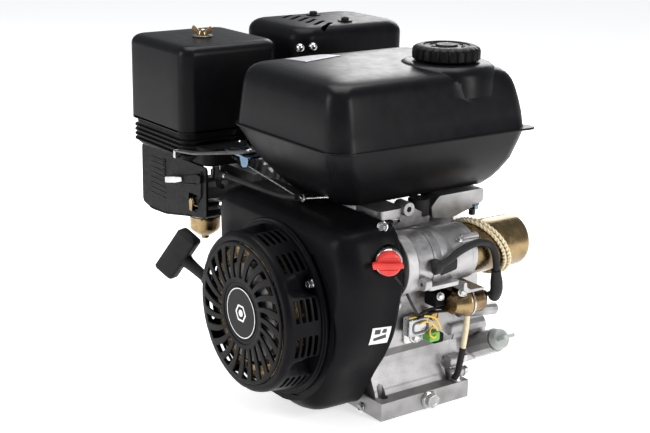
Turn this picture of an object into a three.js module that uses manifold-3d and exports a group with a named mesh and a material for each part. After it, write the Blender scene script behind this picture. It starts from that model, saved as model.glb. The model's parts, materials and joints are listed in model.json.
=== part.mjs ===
// Small single-cylinder gasoline engine with recoil and electric start.
// Millimetres, +Z up. The crank axis runs along Y at X = 0, the base rests on Z = 0,
// the recoil starter faces -Y, the power shaft +Y, the electric starter +X, the cylinder head -X.
import * as THREE from 'three';
import { mergeVertices } from 'three/addons/utils/BufferGeometryUtils.js';
import Module from 'manifold-3d';

const wasm = await Module();
wasm.setup();

// ---- Driving dimensions -------------------------------------------------------------

const GAP = 0.3; // clearance between touching pieces

const CRANK_HEIGHT = 132;
const BANK_ANGLE = THREE.MathUtils.degToRad(25); // cylinder above horizontal
const BORE_RADIUS = 44;
const STROKE = 64;
const ROD_LENGTH = 115;
const DECK = 182; // cylinder deck, measured along the cylinder axis from the crank axis
const HEAD_END = 246;
const HEAD_COVER_END = 276;

const BASE = { x0: -137, x1: 97.4, y: 67.4, z: 22 };
const FOOT_SLOTS = { x0: -115.5, x1: 80, y: 52.5, width: 11, length: 15 };
const CASE = { front: -62, back: 60 };

const PTO_FACE = 117.5;
const PTO_END = 206;
const PTO_RADIUS = 12.7;
const PTO_BOLT_CIRCLE = 82.55;
const PTO_PAD = { radius: 13, hole: 4.2 };
const KEY_WIDTH = 6.35;

const WEB_RADIUS = 52;
const CRANKPIN_RADIUS = 18;
const JOURNAL_RADIUS = 17.5;
const CAM_AXIS = { x: -61.4, z: 94.4 };
const BALANCER_AXIS = { x: 14, z: 61.4 };
const CAM_GEAR = { y0: 46, y1: 53, tip: 47.8 };
const BALANCER_GEAR = { y0: 36, y1: 44, tip: 35.6 };

const HOUSING = { front: -150, back: -75, sheet: 2.5, opening: 88 };
const RECOIL = { flange: 104, face: 87, front: -198, back: -151, sheet: 2.5, hub: 36 };
const HANDLE = {
  centre: new THREE.Vector3(-160, -190, 159),
  pull: new THREE.Vector3(-0.74, -0.4, 0.54).normalize(),
  along: new THREE.Vector3(0.4235, 0.3465, 0.837).normalize(),
  reach: 54,
};
HANDLE.across = new THREE.Vector3().crossVectors(HANDLE.pull, HANDLE.along);

const FLYWHEEL_RADIUS = 104;
const RING_GEAR_RADIUS = 110;

const TANK = { seam: 330, sheet: 2.5, capX: 45, capY: 55, neck: 22 };
const CAP = { radius: 40, skirt: 411, top: 428 };

const CLEANER = { x0: -333, x1: -185, y0: -164, y1: -22, z0: 299, z1: 409, sheet: 2.5, corner: 18 };
const STUD = { x: -250, y: -99 };
const CARB_COVER = { x0: -325, x1: -160, y0: -149, y1: -84, z0: 177, z1: 261.5, sheet: 3 };
const BOWL = { x: -225, y: -112, radius: 20 };
const MUFFLER = { x0: -297, x1: -180, y0: 5, y1: 160, z0: 304, z1: 406 };
const GUARD = { x0: -306, x1: -171, y0: -5, y1: 174, z0: 312, z1: 422, sheet: 2 };

const STARTER = { x: 107, z: 197, nose: -72, join: 34, end: 120, radius: 31 };
const SWITCH = { centre: [137.5, -97, 214], out: [0.86, -0.5103, 0], along: [0.5103, 0.86, 0], radius: 16 };
const SWITCH_TURN = new THREE.Matrix4().makeBasis(
  new THREE.Vector3(...SWITCH.along), new THREE.Vector3(0, 0, 1), new THREE.Vector3(...SWITCH.out))
  .setPosition(...SWITCH.centre);
const SOLENOID = { x: 118, z: 136, radius: 16, back: 16, front: 37, end: 57 };

// ---- Finishes -----------------------------------------------------------------------

const finish = (color, roughness, metalness) => ({ color, roughness, metalness });
const CAST_ALUMINIUM = finish(0xb8b4b4, 0.5, 0.85);
const MACHINED_STEEL = finish(0xc4c6c8, 0.3, 1);
const DARK_STEEL = finish(0x5a5c5f, 0.45, 0.9);
const BLACK_PAINT = finish(0x121214, 0.42, 0.2);
const GLOSS_BLACK = finish(0x101012, 0.22, 0.2);
const BLACK_PLASTIC = finish(0x17171a, 0.55, 0);
const BLACK_RUBBER = finish(0x141414, 0.8, 0);
const GOLD_ZINC = finish(0xa98b54, 0.35, 0.9);
const BRIGHT_ZINC = finish(0xc9ccd0, 0.28, 1);
const BLUE_ZINC = finish(0x9db0c4, 0.3, 1);
const RED_PLASTIC = finish(0xe23b35, 0.4, 0);
const GREY_PLASTIC = finish(0xc9cac8, 0.5, 0);
const CREAM_SLEEVE = finish(0xe6d8ae, 0.8, 0);
const FILTER_PAPER = finish(0xd8cfb4, 0.9, 0);
const CERAMIC_WHITE = finish(0xf2f0ea, 0.25, 0);

// ---- Solids, cuts and joins ---------------------------------------------------------

function closedSolid(geometry) {
  const bare = geometry.clone();
  bare.deleteAttribute('normal');
  bare.deleteAttribute('uv');
  const merged = mergeVertices(bare, 1e-4);
  const points = merged.attributes.position.array;
  const corners = [];
  const index = merged.index.array;
  const a = new THREE.Vector3();
  const b = new THREE.Vector3();
  const c = new THREE.Vector3();
  let volume = 0;
  for (let i = 0; i < index.length; i += 3) {
    const [p, q, r] = [index[i], index[i + 1], index[i + 2]];
    if (p === q || q === r || r === p) continue;
    corners.push(p, q, r);
    b.fromArray(points, 3 * q).cross(c.fromArray(points, 3 * r));
    volume += a.fromArray(points, 3 * p).dot(b);
  }
  if (volume < 0) corners.reverse();
  const mesh = new wasm.Mesh({
    numProp: 3,
    vertProperties: new Float32Array(points),
    triVerts: new Uint32Array(corners),
  });
  return new wasm.Manifold(mesh);
}

function toGeometry(manifold) {
  const mesh = manifold.getMesh();
  const geometry = new THREE.BufferGeometry();
  geometry.setAttribute('position', new THREE.BufferAttribute(mesh.vertProperties, 3));
  geometry.setIndex(new THREE.BufferAttribute(mesh.triVerts, 1));
  geometry.computeVertexNormals();
  return geometry;
}

function join(...geometries) {
  const [first, ...others] = geometries.map(closedSolid);
  return toGeometry(others.reduce((whole, next) => whole.add(next), first));
}

function cut(body, ...tools) {
  const remaining = tools.map(closedSolid).reduce((left, tool) => left.subtract(tool), closedSolid(body));
  return toGeometry(remaining);
}

function common(first, second) {
  return toGeometry(closedSolid(first).intersect(closedSolid(second)));
}

// ---- Basic shapes -------------------------------------------------------------------

function block(x0, x1, y0, y1, z0, z1) {
  const box = new THREE.BoxGeometry(x1 - x0, y1 - y0, z1 - z0);
  return box.translate((x0 + x1) / 2, (y0 + y1) / 2, (z0 + z1) / 2);
}

function rodY(x, z, y0, y1, radius, sides = 24, endRadius = radius) {
  return new THREE.CylinderGeometry(endRadius, radius, y1 - y0, sides).translate(x, (y0 + y1) / 2, z);
}

function rodZ(x, y, z0, z1, radius, sides = 24, endRadius = radius) {
  const rod = new THREE.CylinderGeometry(endRadius, radius, z1 - z0, sides).rotateX(Math.PI / 2);
  return rod.translate(x, y, (z0 + z1) / 2);
}

function rodX(y, z, x0, x1, radius, sides = 24, endRadius = radius) {
  const rod = new THREE.CylinderGeometry(endRadius, radius, x1 - x0, sides).rotateZ(-Math.PI / 2);
  return rod.translate((x0 + x1) / 2, y, z);
}

function rodBetween(from, to, radius, sides = 12, endRadius = radius) {
  const start = new THREE.Vector3(...from);
  const end = new THREE.Vector3(...to);
  const along = end.clone().sub(start);
  const rod = new THREE.CylinderGeometry(endRadius, radius, along.length(), sides);
  const turn = new THREE.Quaternion().setFromUnitVectors(new THREE.Vector3(0, 1, 0), along.normalize());
  const middle = start.add(end).multiplyScalar(0.5);
  return rod.applyQuaternion(turn).translate(middle.x, middle.y, middle.z);
}

// A closed outline whose corners are rounded by the given radius.
function roundedOutline(corners, radius) {
  const shape = new THREE.Shape();
  const points = corners.map(([x, y]) => new THREE.Vector2(x, y));
  points.forEach((corner, i) => {
    const before = points[(i + points.length - 1) % points.length];
    const after = points[(i + 1) % points.length];
    const reachIn = Math.min(radius, before.distanceTo(corner) / 2.1);
    const reachOut = Math.min(radius, after.distanceTo(corner) / 2.1);
    const start = corner.clone().add(before.clone().sub(corner).setLength(reachIn));
    const end = corner.clone().add(after.clone().sub(corner).setLength(reachOut));
    if (i === 0) shape.moveTo(start.x, start.y);
    else shape.lineTo(start.x, start.y);
    shape.quadraticCurveTo(corner.x, corner.y, end.x, end.y);
  });
  return shape;
}

const rectangle = (x0, x1, y0, y1) => [[x0, y0], [x1, y0], [x1, y1], [x0, y1]];

function plateZ(shape, z0, z1, segments = 2) {
  const settings = { depth: z1 - z0, bevelEnabled: false, curveSegments: segments };
  return new THREE.ExtrudeGeometry(shape, settings).translate(0, 0, z0);
}

// An outline drawn in X and Z, as thick as y0 to y1.
function plateY(shape, y0, y1, segments = 2) {
  return plateZ(shape, 0, y1 - y0, segments).rotateX(Math.PI / 2).translate(0, y1, 0);
}

// An outline drawn in Y and Z, as thick as x0 to x1.
function plateX(shape, x0, x1, segments = 2) {
  const turn = new THREE.Matrix4().makeBasis(
    new THREE.Vector3(0, 1, 0), new THREE.Vector3(0, 0, 1), new THREE.Vector3(1, 0, 0));
  return plateZ(shape, x0, x1, segments).applyMatrix4(turn);
}

// A solid of revolution about the crank axis: [radius, y] points that start and end on the axis
// or, round a bore, close on themselves.
function turned(profile, sides = 24) {
  const onAxis = profile[0][0] === 0;
  const closed = onAxis ? profile : [...profile, profile[0]];
  const points = closed.map(([radius, y]) => new THREE.Vector2(radius, y));
  return new THREE.LatheGeometry(points, sides).translate(0, 0, CRANK_HEIGHT);
}

// A round bar along a smooth curve through the points.
function bar(points, radius, sides = 8, steps = 16) {
  const path = new THREE.CatmullRomCurve3(points.map((point) => new THREE.Vector3(...point)));
  const section = new THREE.Shape();
  section.absarc(0, 0, radius, 0, 2 * Math.PI);
  const outline = new THREE.Shape(section.getSpacedPoints(sides).slice(0, sides));
  return new THREE.ExtrudeGeometry(outline, { steps, extrudePath: path, bevelEnabled: false });
}

// Points round a rectangle with rounded corners; every ring of a loft has as many.
function ring(x0, x1, y0, y1, radius, cornerSteps) {
  const centres = [[x1 - radius, y1 - radius], [x0 + radius, y1 - radius],
    [x0 + radius, y0 + radius], [x1 - radius, y0 + radius]];
  return centres.flatMap(([cx, cy], quarter) => Array.from({ length: cornerSteps + 1 }, (_, step) => {
    const angle = (quarter + step / cornerSteps) * Math.PI / 2;
    return new THREE.Vector2(cx + radius * Math.cos(angle), cy + radius * Math.sin(angle));
  }));
}

// A closed skin over rings of points, each ring at its own height.
function loft(rings) {
  const size = rings[0].points.length;
  const positions = rings.flatMap(({ points, z }) => points.flatMap(({ x, y }) => [x, y, z]));
  const corners = [];
  for (let level = 0; level < rings.length - 1; level += 1) {
    for (let i = 0; i < size; i += 1) {
      const low = level * size;
      const high = low + size;
      const next = (i + 1) % size;
      corners.push(low + i, low + next, high + next, low + i, high + next, high + i);
    }
  }
  const top = (rings.length - 1) * size;
  THREE.ShapeUtils.triangulateShape(rings[0].points, []).forEach(([a, b, c]) => {
    corners.push(c, b, a);
    corners.push(top + a, top + b, top + c);
  });
  const geometry = new THREE.BufferGeometry();
  geometry.setAttribute('position', new THREE.Float32BufferAttribute(positions, 3));
  geometry.setIndex(corners);
  return geometry;
}

// A boxy shell with rounded corners: each level is [z, inset] of the same rectangle.
function boxLoft({ x0, x1, y0, y1 }, levels, radius, cornerSteps = 3) {
  return loft(levels.map(([z, inset]) => ({
    z,
    points: ring(x0 + inset, x1 - inset, y0 + inset, y1 - inset, radius - inset / 2, cornerSteps),
  })));
}

// The cylinder's own axes: X out along the bore, Y towards the recoil side, Z across the bore, upwards.
const cylinderAxes = new THREE.Matrix4().makeBasis(
  new THREE.Vector3(-Math.cos(BANK_ANGLE), 0, Math.sin(BANK_ANGLE)),
  new THREE.Vector3(0, -1, 0),
  new THREE.Vector3(Math.sin(BANK_ANGLE), 0, Math.cos(BANK_ANGLE)),
).setPosition(0, 0, CRANK_HEIGHT);
const onCylinder = (geometry) => geometry.applyMatrix4(cylinderAxes);

// ---- The engine's group -------------------------------------------------------------

const engine = new THREE.Group();

function add(name, geometry, look) {
  const mesh = new THREE.Mesh(toGeometry(closedSolid(geometry)), new THREE.MeshStandardMaterial(look));
  mesh.name = name;
  engine.add(mesh);
}

// ---- Crankcase, covers and cylinder head --------------------------------------------

const CASE_TOP = 222;
const CASE_OUTLINE = [[84, 18], [69, 40], [66, 68], [74, 76], [74, 152], [64, 200], [48, 222],
  [-66, 222], [-120, 180], [-126, 60], [-112, 18]];
const CAVITY_OUTLINE = [[56, 23], [59, 72], [67, 82], [67, 148], [57, 192], [44, 214],
  [-62, 214], [-112, 176], [-118, 62], [-104, 23]];

function footSlot(x, y) {
  const halfLength = FOOT_SLOTS.length / 2;
  const halfWidth = FOOT_SLOTS.width / 2;
  const outline = rectangle(x - halfLength, x + halfLength, y - halfWidth, y + halfWidth);
  return plateZ(roundedOutline(outline, halfWidth), -1, BASE.z + 30);
}

function crankcase() {
  const base = block(BASE.x0, BASE.x1, -BASE.y, BASE.y, 0, BASE.z);
  const body = plateY(roundedOutline(CASE_OUTLINE, 12), CASE.front, CASE.back);
  const barrel = onCylinder(block(70, DECK, -58, 58, -76, 50));
  const fins = [];
  for (let along = 128; along < DECK - 4; along += 12) {
    fins.push(onCylinder(block(along, along + 3, -61.5, 61.5, -82, 56)));
  }
  const cavity = plateY(roundedOutline(CAVITY_OUTLINE, 10), -46, CASE.back + 1);
  const bore = onCylinder(rodX(0, 0, 40, DECK + 1, BORE_RADIUS, 24));
  const pushrodTunnel = onCylinder(block(60, DECK + 1, -22, 22, -72, -52));
  const mainBearing = rodY(0, CRANK_HEIGHT, CASE.front - 1, -45, JOURNAL_RADIUS + GAP, 24);
  const drainHole = rodX(5, 12, 74, BASE.x1 + 1, 6 + GAP, 12);
  const slots = [FOOT_SLOTS.x0, FOOT_SLOTS.x1].flatMap((x) =>
    [-1, 1].map((side) => footSlot(x, side * FOOT_SLOTS.y)));
  const casting = join(base, body, barrel, ...fins);
  return cut(casting, cavity, bore, pushrodTunnel, mainBearing, drainHole, ...slots);
}

const FILLER = { foot: [60, 108, 44], mouth: [100, 108, 66], radius: 15 };

function ptoSideCover() {
  const flangeOutline = CASE_OUTLINE.map(([x, z]) => [x, Math.max(z, BASE.z + GAP)]);
  const flange = plateY(roundedOutline(flangeOutline, 12), CASE.back + GAP, 72);
  const domeOutline = CASE_OUTLINE.map(([x, z]) => [x * 0.9 - 1, (z - 110) * 0.88 + 110]);
  const dome = plateY(roundedOutline(domeOutline, 14), 70, 104);
  const boss = rodY(0, CRANK_HEIGHT, 90, PTO_FACE, 40, 24);
  const padCentres = [45, 135, 225, 315].map((degrees) => {
    const angle = THREE.MathUtils.degToRad(degrees);
    return [PTO_BOLT_CIRCLE * Math.cos(angle), CRANK_HEIGHT + PTO_BOLT_CIRCLE * Math.sin(angle)];
  });
  const pads = padCentres.map(([x, z]) => rodY(x, z, 64, PTO_FACE, PTO_PAD.radius, 12));
  const padHoles = padCentres.map(([x, z]) => rodY(x, z, PTO_FACE - 18, PTO_FACE + 1, PTO_PAD.hole, 8));
  const filler = rodBetween(FILLER.foot, FILLER.mouth, FILLER.radius, 12);
  const bar = join(rodBetween([80, 62, 107], [80, 120, 99], 8, 12), block(56, 80, 70, 103, 98, 106));
  const hollowOutline = CASE_OUTLINE.map(([x, z]) => [x * 0.82 - 2, (z - 110) * 0.78 + 110]);
  const hollow = plateY(roundedOutline(hollowOutline, 10), CASE.back - 1, 97);
  const shaftHole = rodY(0, CRANK_HEIGHT, 90, PTO_FACE + 1, JOURNAL_RADIUS + GAP, 24);
  const fillerHole = rodBetween([50, 108, 38.5], [104, 108, 68.2], 10, 12);
  return cut(join(flange, dome, boss, filler, bar, ...pads), hollow, shaftHole, fillerHole, ...padHoles);
}

function cylinderHead() {
  const core = block(DECK + GAP, HEAD_END, -60, 60, -74, 42);
  const fins = [];
  for (let along = DECK + 12; along < HEAD_END - 12; along += 12) {
    fins.push(block(along, along + 3, -66, 66, -80, 46));
  }
  const chamber = rodX(0, 0, DECK, DECK + 11, 40, 24);
  const guides = [-20, 20].map((y) => rodX(y, 0, DECK + 5, HEAD_END + 1, 3.8, 8));
  const throats = [-20, 20].map((y) => rodX(y, 0, DECK + 5, DECK + 32, 13, 12));
  const ports = [[-67, -18], [18, 67]].map(([y0, y1]) => rodY(DECK + 30, 0, y0, y1, 13, 12));
  const tunnel = block(DECK, HEAD_END + 1, -22, 22, -72, -52);
  const plugHole = rodZ(DECK + 22, 0, 8, 60, 7.4, 12);
  const plugSeat = rodZ(DECK + 22, 0, 42, 60, 13, 12);
  const passages = [chamber, ...guides, ...throats, ...ports, tunnel, plugHole, plugSeat];
  return onCylinder(cut(join(core, ...fins), ...passages));
}

function headCover() {
  const flange = block(HEAD_END + GAP, HEAD_END + 6, -56, 56, -74, 40);
  const dome = block(HEAD_END + 5, HEAD_COVER_END, -48, 48, -66, 32);
  const hollow = block(HEAD_END - 1, HEAD_COVER_END - 3, -45, 45, -63, 29);
  return onCylinder(cut(join(flange, dome), hollow));
}

add('crankcase', crankcase(), CAST_ALUMINIUM);
add('pto_side_cover', ptoSideCover(), CAST_ALUMINIUM);
add('cylinder_head', cylinderHead(), CAST_ALUMINIUM);
add('head_cover', headCover(), BLACK_PAINT);
add('drain_plug', join(rodX(5, 12, 78, 99, 6, 12), rodX(5, 12, BASE.x1 + GAP, 99.5, 11.5, 12),
  rodX(5, 12, 99, 107, 9.5, 6)), BRIGHT_ZINC);

// ---- Crankshaft, piston, camshaft, balancer and valves ------------------------------

function gearDisc(x, z, y0, y1, tipRadius, teeth) {
  const outline = new THREE.Shape();
  for (let i = 0; i < teeth * 4; i += 1) {
    const angle = (i / (teeth * 4)) * 2 * Math.PI;
    const radius = i % 4 < 2 ? tipRadius : tipRadius - 2.2;
    const point = [x + radius * Math.cos(angle), z + radius * Math.sin(angle)];
    if (i === 0) outline.moveTo(...point);
    else outline.lineTo(...point);
  }
  return plateY(outline, y0, y1);
}

function crankshaftRecoilHalf() {
  return turned([[0, -14], [WEB_RADIUS, -14], [WEB_RADIUS, -30], [JOURNAL_RADIUS, -31],
    [JOURNAL_RADIUS, -80], [14, -132], [8, -132], [8, -157], [0, -157]]);
}

function crankshaftPtoHalf() {
  const shaft = turned([[0, 14], [WEB_RADIUS, 14], [WEB_RADIUS, 30], [JOURNAL_RADIUS, 31],
    [JOURNAL_RADIUS, PTO_FACE + 2], [PTO_RADIUS, PTO_FACE + 3], [PTO_RADIUS, PTO_END - 1],
    [PTO_RADIUS - 1, PTO_END], [0, PTO_END]]);
  const camDrive = gearDisc(0, CRANK_HEIGHT, CAM_GEAR.y0, CAM_GEAR.y1, 23.6, 12);
  const balancerDrive = gearDisc(0, CRANK_HEIGHT, BALANCER_GEAR.y0, BALANCER_GEAR.y1, BALANCER_GEAR.tip, 16);
  const keyTop = CRANK_HEIGHT + PTO_RADIUS;
  const keyway = block(-KEY_WIDTH / 2, KEY_WIDTH / 2, 140, PTO_END + 1, keyTop - 3.4, keyTop + 5);
  const endThread = rodY(0, CRANK_HEIGHT, PTO_END - 28, PTO_END + 1, 4.2, 10);
  return cut(join(shaft, camDrive, balancerDrive), keyway, endThread);
}

function shaftKey() {
  const keyTop = CRANK_HEIGHT + PTO_RADIUS;
  return block(-KEY_WIDTH / 2 + GAP, KEY_WIDTH / 2 - GAP, 142, 200, keyTop - 3.4 + GAP, keyTop + 2.9);
}

function piston() {
  const pinAlong = STROKE / 2 + ROD_LENGTH;
  const crown = pinAlong + 35 - 0.5;
  const body = rodX(0, 0, pinAlong - 26, crown, BORE_RADIUS - 0.4, 24);
  const inside = rodX(0, 0, pinAlong - 27, crown - 8, BORE_RADIUS - 6, 24);
  const bosses = [[13, 40], [-40, -13]].map(([y0, y1]) =>
    common(block(pinAlong - 14, crown - 7, y0, y1, -14, 14), rodX(0, 0, 100, 200, BORE_RADIUS - 3, 24)));
  const pinHole = rodY(pinAlong, 0, -50, 50, 9, 16);
  const grooves = [crown - 6, crown - 12, crown - 19].map((along) =>
    cut(rodX(0, 0, along, along + 2, 50, 24), rodX(0, 0, along - 1, along + 3, BORE_RADIUS - 3, 24)));
  return onCylinder(cut(join(cut(body, inside), ...bosses), pinHole, ...grooves));
}

function connectingRod() {
  const pinAlong = STROKE / 2 + ROD_LENGTH;
  const bigEnd = rodY(STROKE / 2, 0, -12.5, 12.5, 27, 24);
  const smallEnd = rodY(pinAlong, 0, -11.5, 11.5, 14.5, 16);
  const shank = block(STROKE / 2 + 20, pinAlong - 8, -7, 7, -10, 10);
  const flutes = [[3, 8], [-8, -3]].map(([y0, y1]) => block(STROKE / 2 + 30, pinAlong - 18, y0, y1, -6, 6));
  const pinHole = rodY(pinAlong, 0, -20, 20, 9, 16);
  const crankHole = rodY(STROKE / 2, 0, -20, 20, CRANKPIN_RADIUS + GAP, 24);
  return onCylinder(cut(join(bigEnd, smallEnd, shank), ...flutes, pinHole, crankHole));
}

function pistonPin() {
  const along = STROKE / 2 + ROD_LENGTH;
  return onCylinder(cut(rodY(along, 0, -38, 38, 8.7, 16), rodY(along, 0, -40, 40, 5, 12)));
}

function camshaft() {
  const { x, z } = CAM_AXIS;
  const lobe = (y0, y1, degrees) => {
    const angle = THREE.MathUtils.degToRad(degrees);
    return join(rodY(x, z, y0, y1, 13, 16),
      rodY(x + 6 * Math.cos(angle), z + 6 * Math.sin(angle), y0, y1, 11, 12));
  };
  const shaft = rodY(x, z, -44, CASE.back - 1, 8.5, 12);
  const gear = gearDisc(x, z, CAM_GEAR.y0, CAM_GEAR.y1, CAM_GEAR.tip, 24);
  return join(shaft, gear, lobe(-22, -10, 200), lobe(10, 22, 320));
}

function balancerShaft() {
  const { x, z } = BALANCER_AXIS;
  const weight = common(rodY(x, z, -38, 34, 18.5, 20), block(x - 20, x + 20, -40, 36, z - 20, z + 2));
  const gear = gearDisc(x, z, BALANCER_GEAR.y0, BALANCER_GEAR.y1, BALANCER_GEAR.tip, 16);
  return join(rodY(x, z, -44, CASE.back - 1, 8, 12), weight, gear);
}

function valve(y) {
  const face = DECK + 8;
  const head = rodX(y, 0, face, face + 2.6, 16.5, 16);
  const stem = rodX(y, 0, face + 1, HEAD_END + 16, 3.3, 8);
  const retainer = rodX(y, 0, HEAD_END + 11, HEAD_END + 14, 10, 12);
  return onCylinder(join(head, stem, retainer));
}

add('crankshaft_recoil_half', crankshaftRecoilHalf(), DARK_STEEL);
add('crankshaft_pto_half', crankshaftPtoHalf(), MACHINED_STEEL);
add('shaft_key', shaftKey(), DARK_STEEL);
add('crankpin', onCylinder(rodY(STROKE / 2, 0, -13.7, 13.7, CRANKPIN_RADIUS, 24)), MACHINED_STEEL);
add('connecting_rod', connectingRod(), CAST_ALUMINIUM);
add('piston', piston(), CAST_ALUMINIUM);
add('piston_pin', pistonPin(), MACHINED_STEEL);
add('camshaft', camshaft(), DARK_STEEL);
add('balancer_shaft', balancerShaft(), DARK_STEEL);
add('intake_valve', valve(20), MACHINED_STEEL);
add('exhaust_valve', valve(-20), MACHINED_STEEL);

function sparkPlug() {
  const hex = rodZ(DECK + 22, 0, 42 + GAP, 52, 11, 6);
  const thread = rodZ(DECK + 22, 0, 14, 43, 7, 12);
  const insulator = rodZ(DECK + 22, 0, 51, 74, 5.5, 10, 4.2);
  return onCylinder(join(hex, thread, insulator));
}

add('spark_plug', sparkPlug(), CERAMIC_WHITE);

// ---- Flywheel side ------------------------------------------------------------------

function flywheel() {
  const wheel = turned([[17.8, -84], [30, -84], [34, -92], [92, -92], [94, -82], [RING_GEAR_RADIUS, -82],
    [RING_GEAR_RADIUS, -92], [FLYWHEEL_RADIUS, -93], [FLYWHEEL_RADIUS, -134], [92, -134], [90, -104],
    [34, -104], [30, -130], [17.8, -130]], 32);
  const rimBottom = CRANK_HEIGHT - FLYWHEEL_RADIUS;
  const magnet = block(-20, 20, -126, -104, rimBottom - 1, rimBottom + 3);
  return cut(wheel, magnet);
}

function coolingFan() {
  const disc = turned([[44, -134.5], [98, -134.5], [98, -137], [44, -137]], 24);
  const bladeCount = 16;
  const blades = Array.from({ length: bladeCount }, (_, i) => {
    const blade = block(58, 92, -146, -136, -1.2, 1.2).rotateY(0.35);
    return blade.rotateY((i / bladeCount) * 2 * Math.PI).translate(0, 0, CRANK_HEIGHT);
  });
  return join(disc, ...blades);
}

function starterCup() {
  return turned([[9, -137.5], [50, -137.5], [52, -150], [82, -166], [82, -186], [64, -186], [64, -184],
    [80, -184], [80, -167], [50, -151], [48, -139.5], [9, -139.5]], 24);
}

function flywheelNut() {
  return cut(rodY(0, CRANK_HEIGHT, -153, -140, 15, 6), rodY(0, CRANK_HEIGHT, -160, -130, 8 + GAP, 12));
}

function ignitionCoil() {
  const core = cut(block(-22, 22, -122, -104, 106, 132), block(-12, 12, -123, -103, 100, 122));
  const winding = block(-13, 13, -127, -99, 112, 128);
  const posts = [-18, 18].map((x) => block(x - 5, x + 5, -106, -63 + GAP, 124, 131));
  const coil = join(core, winding, ...posts).rotateY(-THREE.MathUtils.degToRad(42));
  return coil.translate(0, 0, CRANK_HEIGHT);
}

add('flywheel', flywheel(), CAST_ALUMINIUM);
add('cooling_fan', coolingFan(), BLACK_PLASTIC);
add('starter_cup', starterCup(), GOLD_ZINC);
add('flywheel_nut', flywheelNut(), BRIGHT_ZINC);
add('ignition_coil', ignitionCoil(), BLACK_PLASTIC);

// The fan housing is a drawn sheet-steel shell, open towards the cylinder.
const HOUSING_OUTLINE = [[120, 248], [134, 222], [139, 192], [134, 158], [127, 122], [112, 91], [95, 67],
  [82, 44], [64, 14], [30, 6], [-30, 10], [-92, 40], [-140, 96], [-142, 236], [-128, 248]];

function housingSolid(inset, front) {
  const centre = [0, 134];
  const shrink = (amount) => HOUSING_OUTLINE.map(([x, z]) => {
    const reach = Math.hypot(x - centre[0], z - centre[1]);
    const scale = (reach - amount) / reach;
    return [centre[0] + (x - centre[0]) * scale, centre[1] + (z - centre[1]) * scale];
  });
  const sections = [[HOUSING.back + (inset ? 1 : 0), 0], [-126, 2], [-142, 7], [front, 20]];
  const rings = sections.map(([y, amount]) => ({
    z: -y,
    points: roundedOutline(shrink(amount + inset), 12).extractPoints(2).shape.reverse(),
  }));
  return loft(rings).rotateX(Math.PI / 2);
}

function blowerHousing() {
  const opening = rodY(0, CRANK_HEIGHT, HOUSING.front - 2, -140, HOUSING.opening, 32);
  const inside = housingSolid(HOUSING.sheet, HOUSING.front + HOUSING.sheet);
  const switchHole = rodZ(0, 0, -14, 30, SWITCH.radius + 0.4, 20).applyMatrix4(SWITCH_TURN);
  return cut(housingSolid(0, HOUSING.front), inside, opening, switchHole);
}

function recoilCase() {
  const { flange, face, front, back, sheet, hub } = RECOIL;
  const shell = turned([[flange, back], [flange, back - 3], [98, -155], [94, -190], [face, front + 2],
    [83, front], [hub, front], [hub, front - 2], [0, front - 2], [0, front + sheet], [82, front + sheet],
    [90.5, -188], [95, -153], [95, back]], 32);
  const slotCount = 24;
  const faceSlots = Array.from({ length: slotCount }, (_, i) => {
    const slot = block(42, 78, -205, -190, -2.6, 2.6).rotateY(0.22);
    return slot.rotateY((i / slotCount) * 2 * Math.PI).translate(0, 0, CRANK_HEIGHT);
  });
  const sideSlots = [-12, 14, 60, 120, 240, 300].flatMap((degrees) =>
    [-182, -168].map((y) => {
      const slot = block(80, 110, y - 3, y + 3, -14, 14);
      return slot.rotateY(-THREE.MathUtils.degToRad(degrees)).translate(0, 0, CRANK_HEIGHT);
    }));
  const guideAt = (distance) => HANDLE.centre.clone().addScaledVector(HANDLE.pull, -distance).toArray();
  const ropeGuide = rodBetween(guideAt(HANDLE.reach + GAP), guideAt(HANDLE.reach + 22), 10, 12);
  const interior = turned([[0, -194], [84, -194], [90, -188], [94.5, -150], [0, -150]], 24);
  const ropeHole = rodBetween(guideAt(HANDLE.reach - 5), guideAt(HANDLE.reach + 60), 4, 8);
  return cut(join(shell, cut(ropeGuide, interior)), ...faceSlots, ...sideSlots, ropeHole);
}

add('blower_housing', blowerHousing(), BLACK_PAINT);
add('recoil_case', recoilCase(), BLACK_PAINT);

function recoilReel() {
  return turned([[14, -193], [58, -193], [58, -190], [42, -189], [42, -182], [58, -181],
    [58, -178], [14, -178]], 20);
}

// The pull handle: a rounded bar across a short stem that points into the rope guide.
function recoilHandle() {
  const grip = plateZ(roundedOutline(rectangle(-32, 32, -11, 11), 4), -14.5, 14.5, 3);
  const stem = rodBetween([0, 0, 0], [0, 0, -HANDLE.reach], 7, 12, 6);
  const handle = join(grip, stem);
  const turn = new THREE.Matrix4().makeBasis(HANDLE.along, HANDLE.across, HANDLE.pull);
  return handle.applyMatrix4(turn.setPosition(HANDLE.centre));
}

add('recoil_reel', recoilReel(), BLACK_PLASTIC);
add('recoil_handle', recoilHandle(), BLACK_RUBBER);

// ---- Fuel tank and its brackets -----------------------------------------------------

const TANK_LEVELS = [
  [253, -54, 52, -88, 106, 20], [257, -62, 62, -97, 120, 22], [275, -77, 79, -115, 132, 24],
  [292, -89, 92, -128, 136, 25], [327, -108, 107.5, -145.5, 139, 26], [328, -111, 110, -149, 142, 28],
  [332, -111, 110, -149, 142, 28], [333, -108, 107.5, -146, 139, 26], [350, -103, 106.5, -147, 136, 25],
  [380, -96.8, 102.5, -145.5, 126, 23], [394, -93.5, 98, -142, 118.5, 22], [400, -90, 92.5, -137, 112.5, 21],
  [404.5, -80, 78, -125, 100, 20], [406.5, -58, 56, -102, 78, 18],
];

function tankSkin(levels, inset) {
  return loft(levels.map(([z, x0, x1, y0, y1, radius], i) => ({
    z: z + (i === 0 ? inset : 0) - (i === levels.length - 1 ? inset : 0),
    points: ring(x0 + inset, x1 - inset, y0 + inset, y1 - inset, radius - inset, 3),
  })));
}

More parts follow.
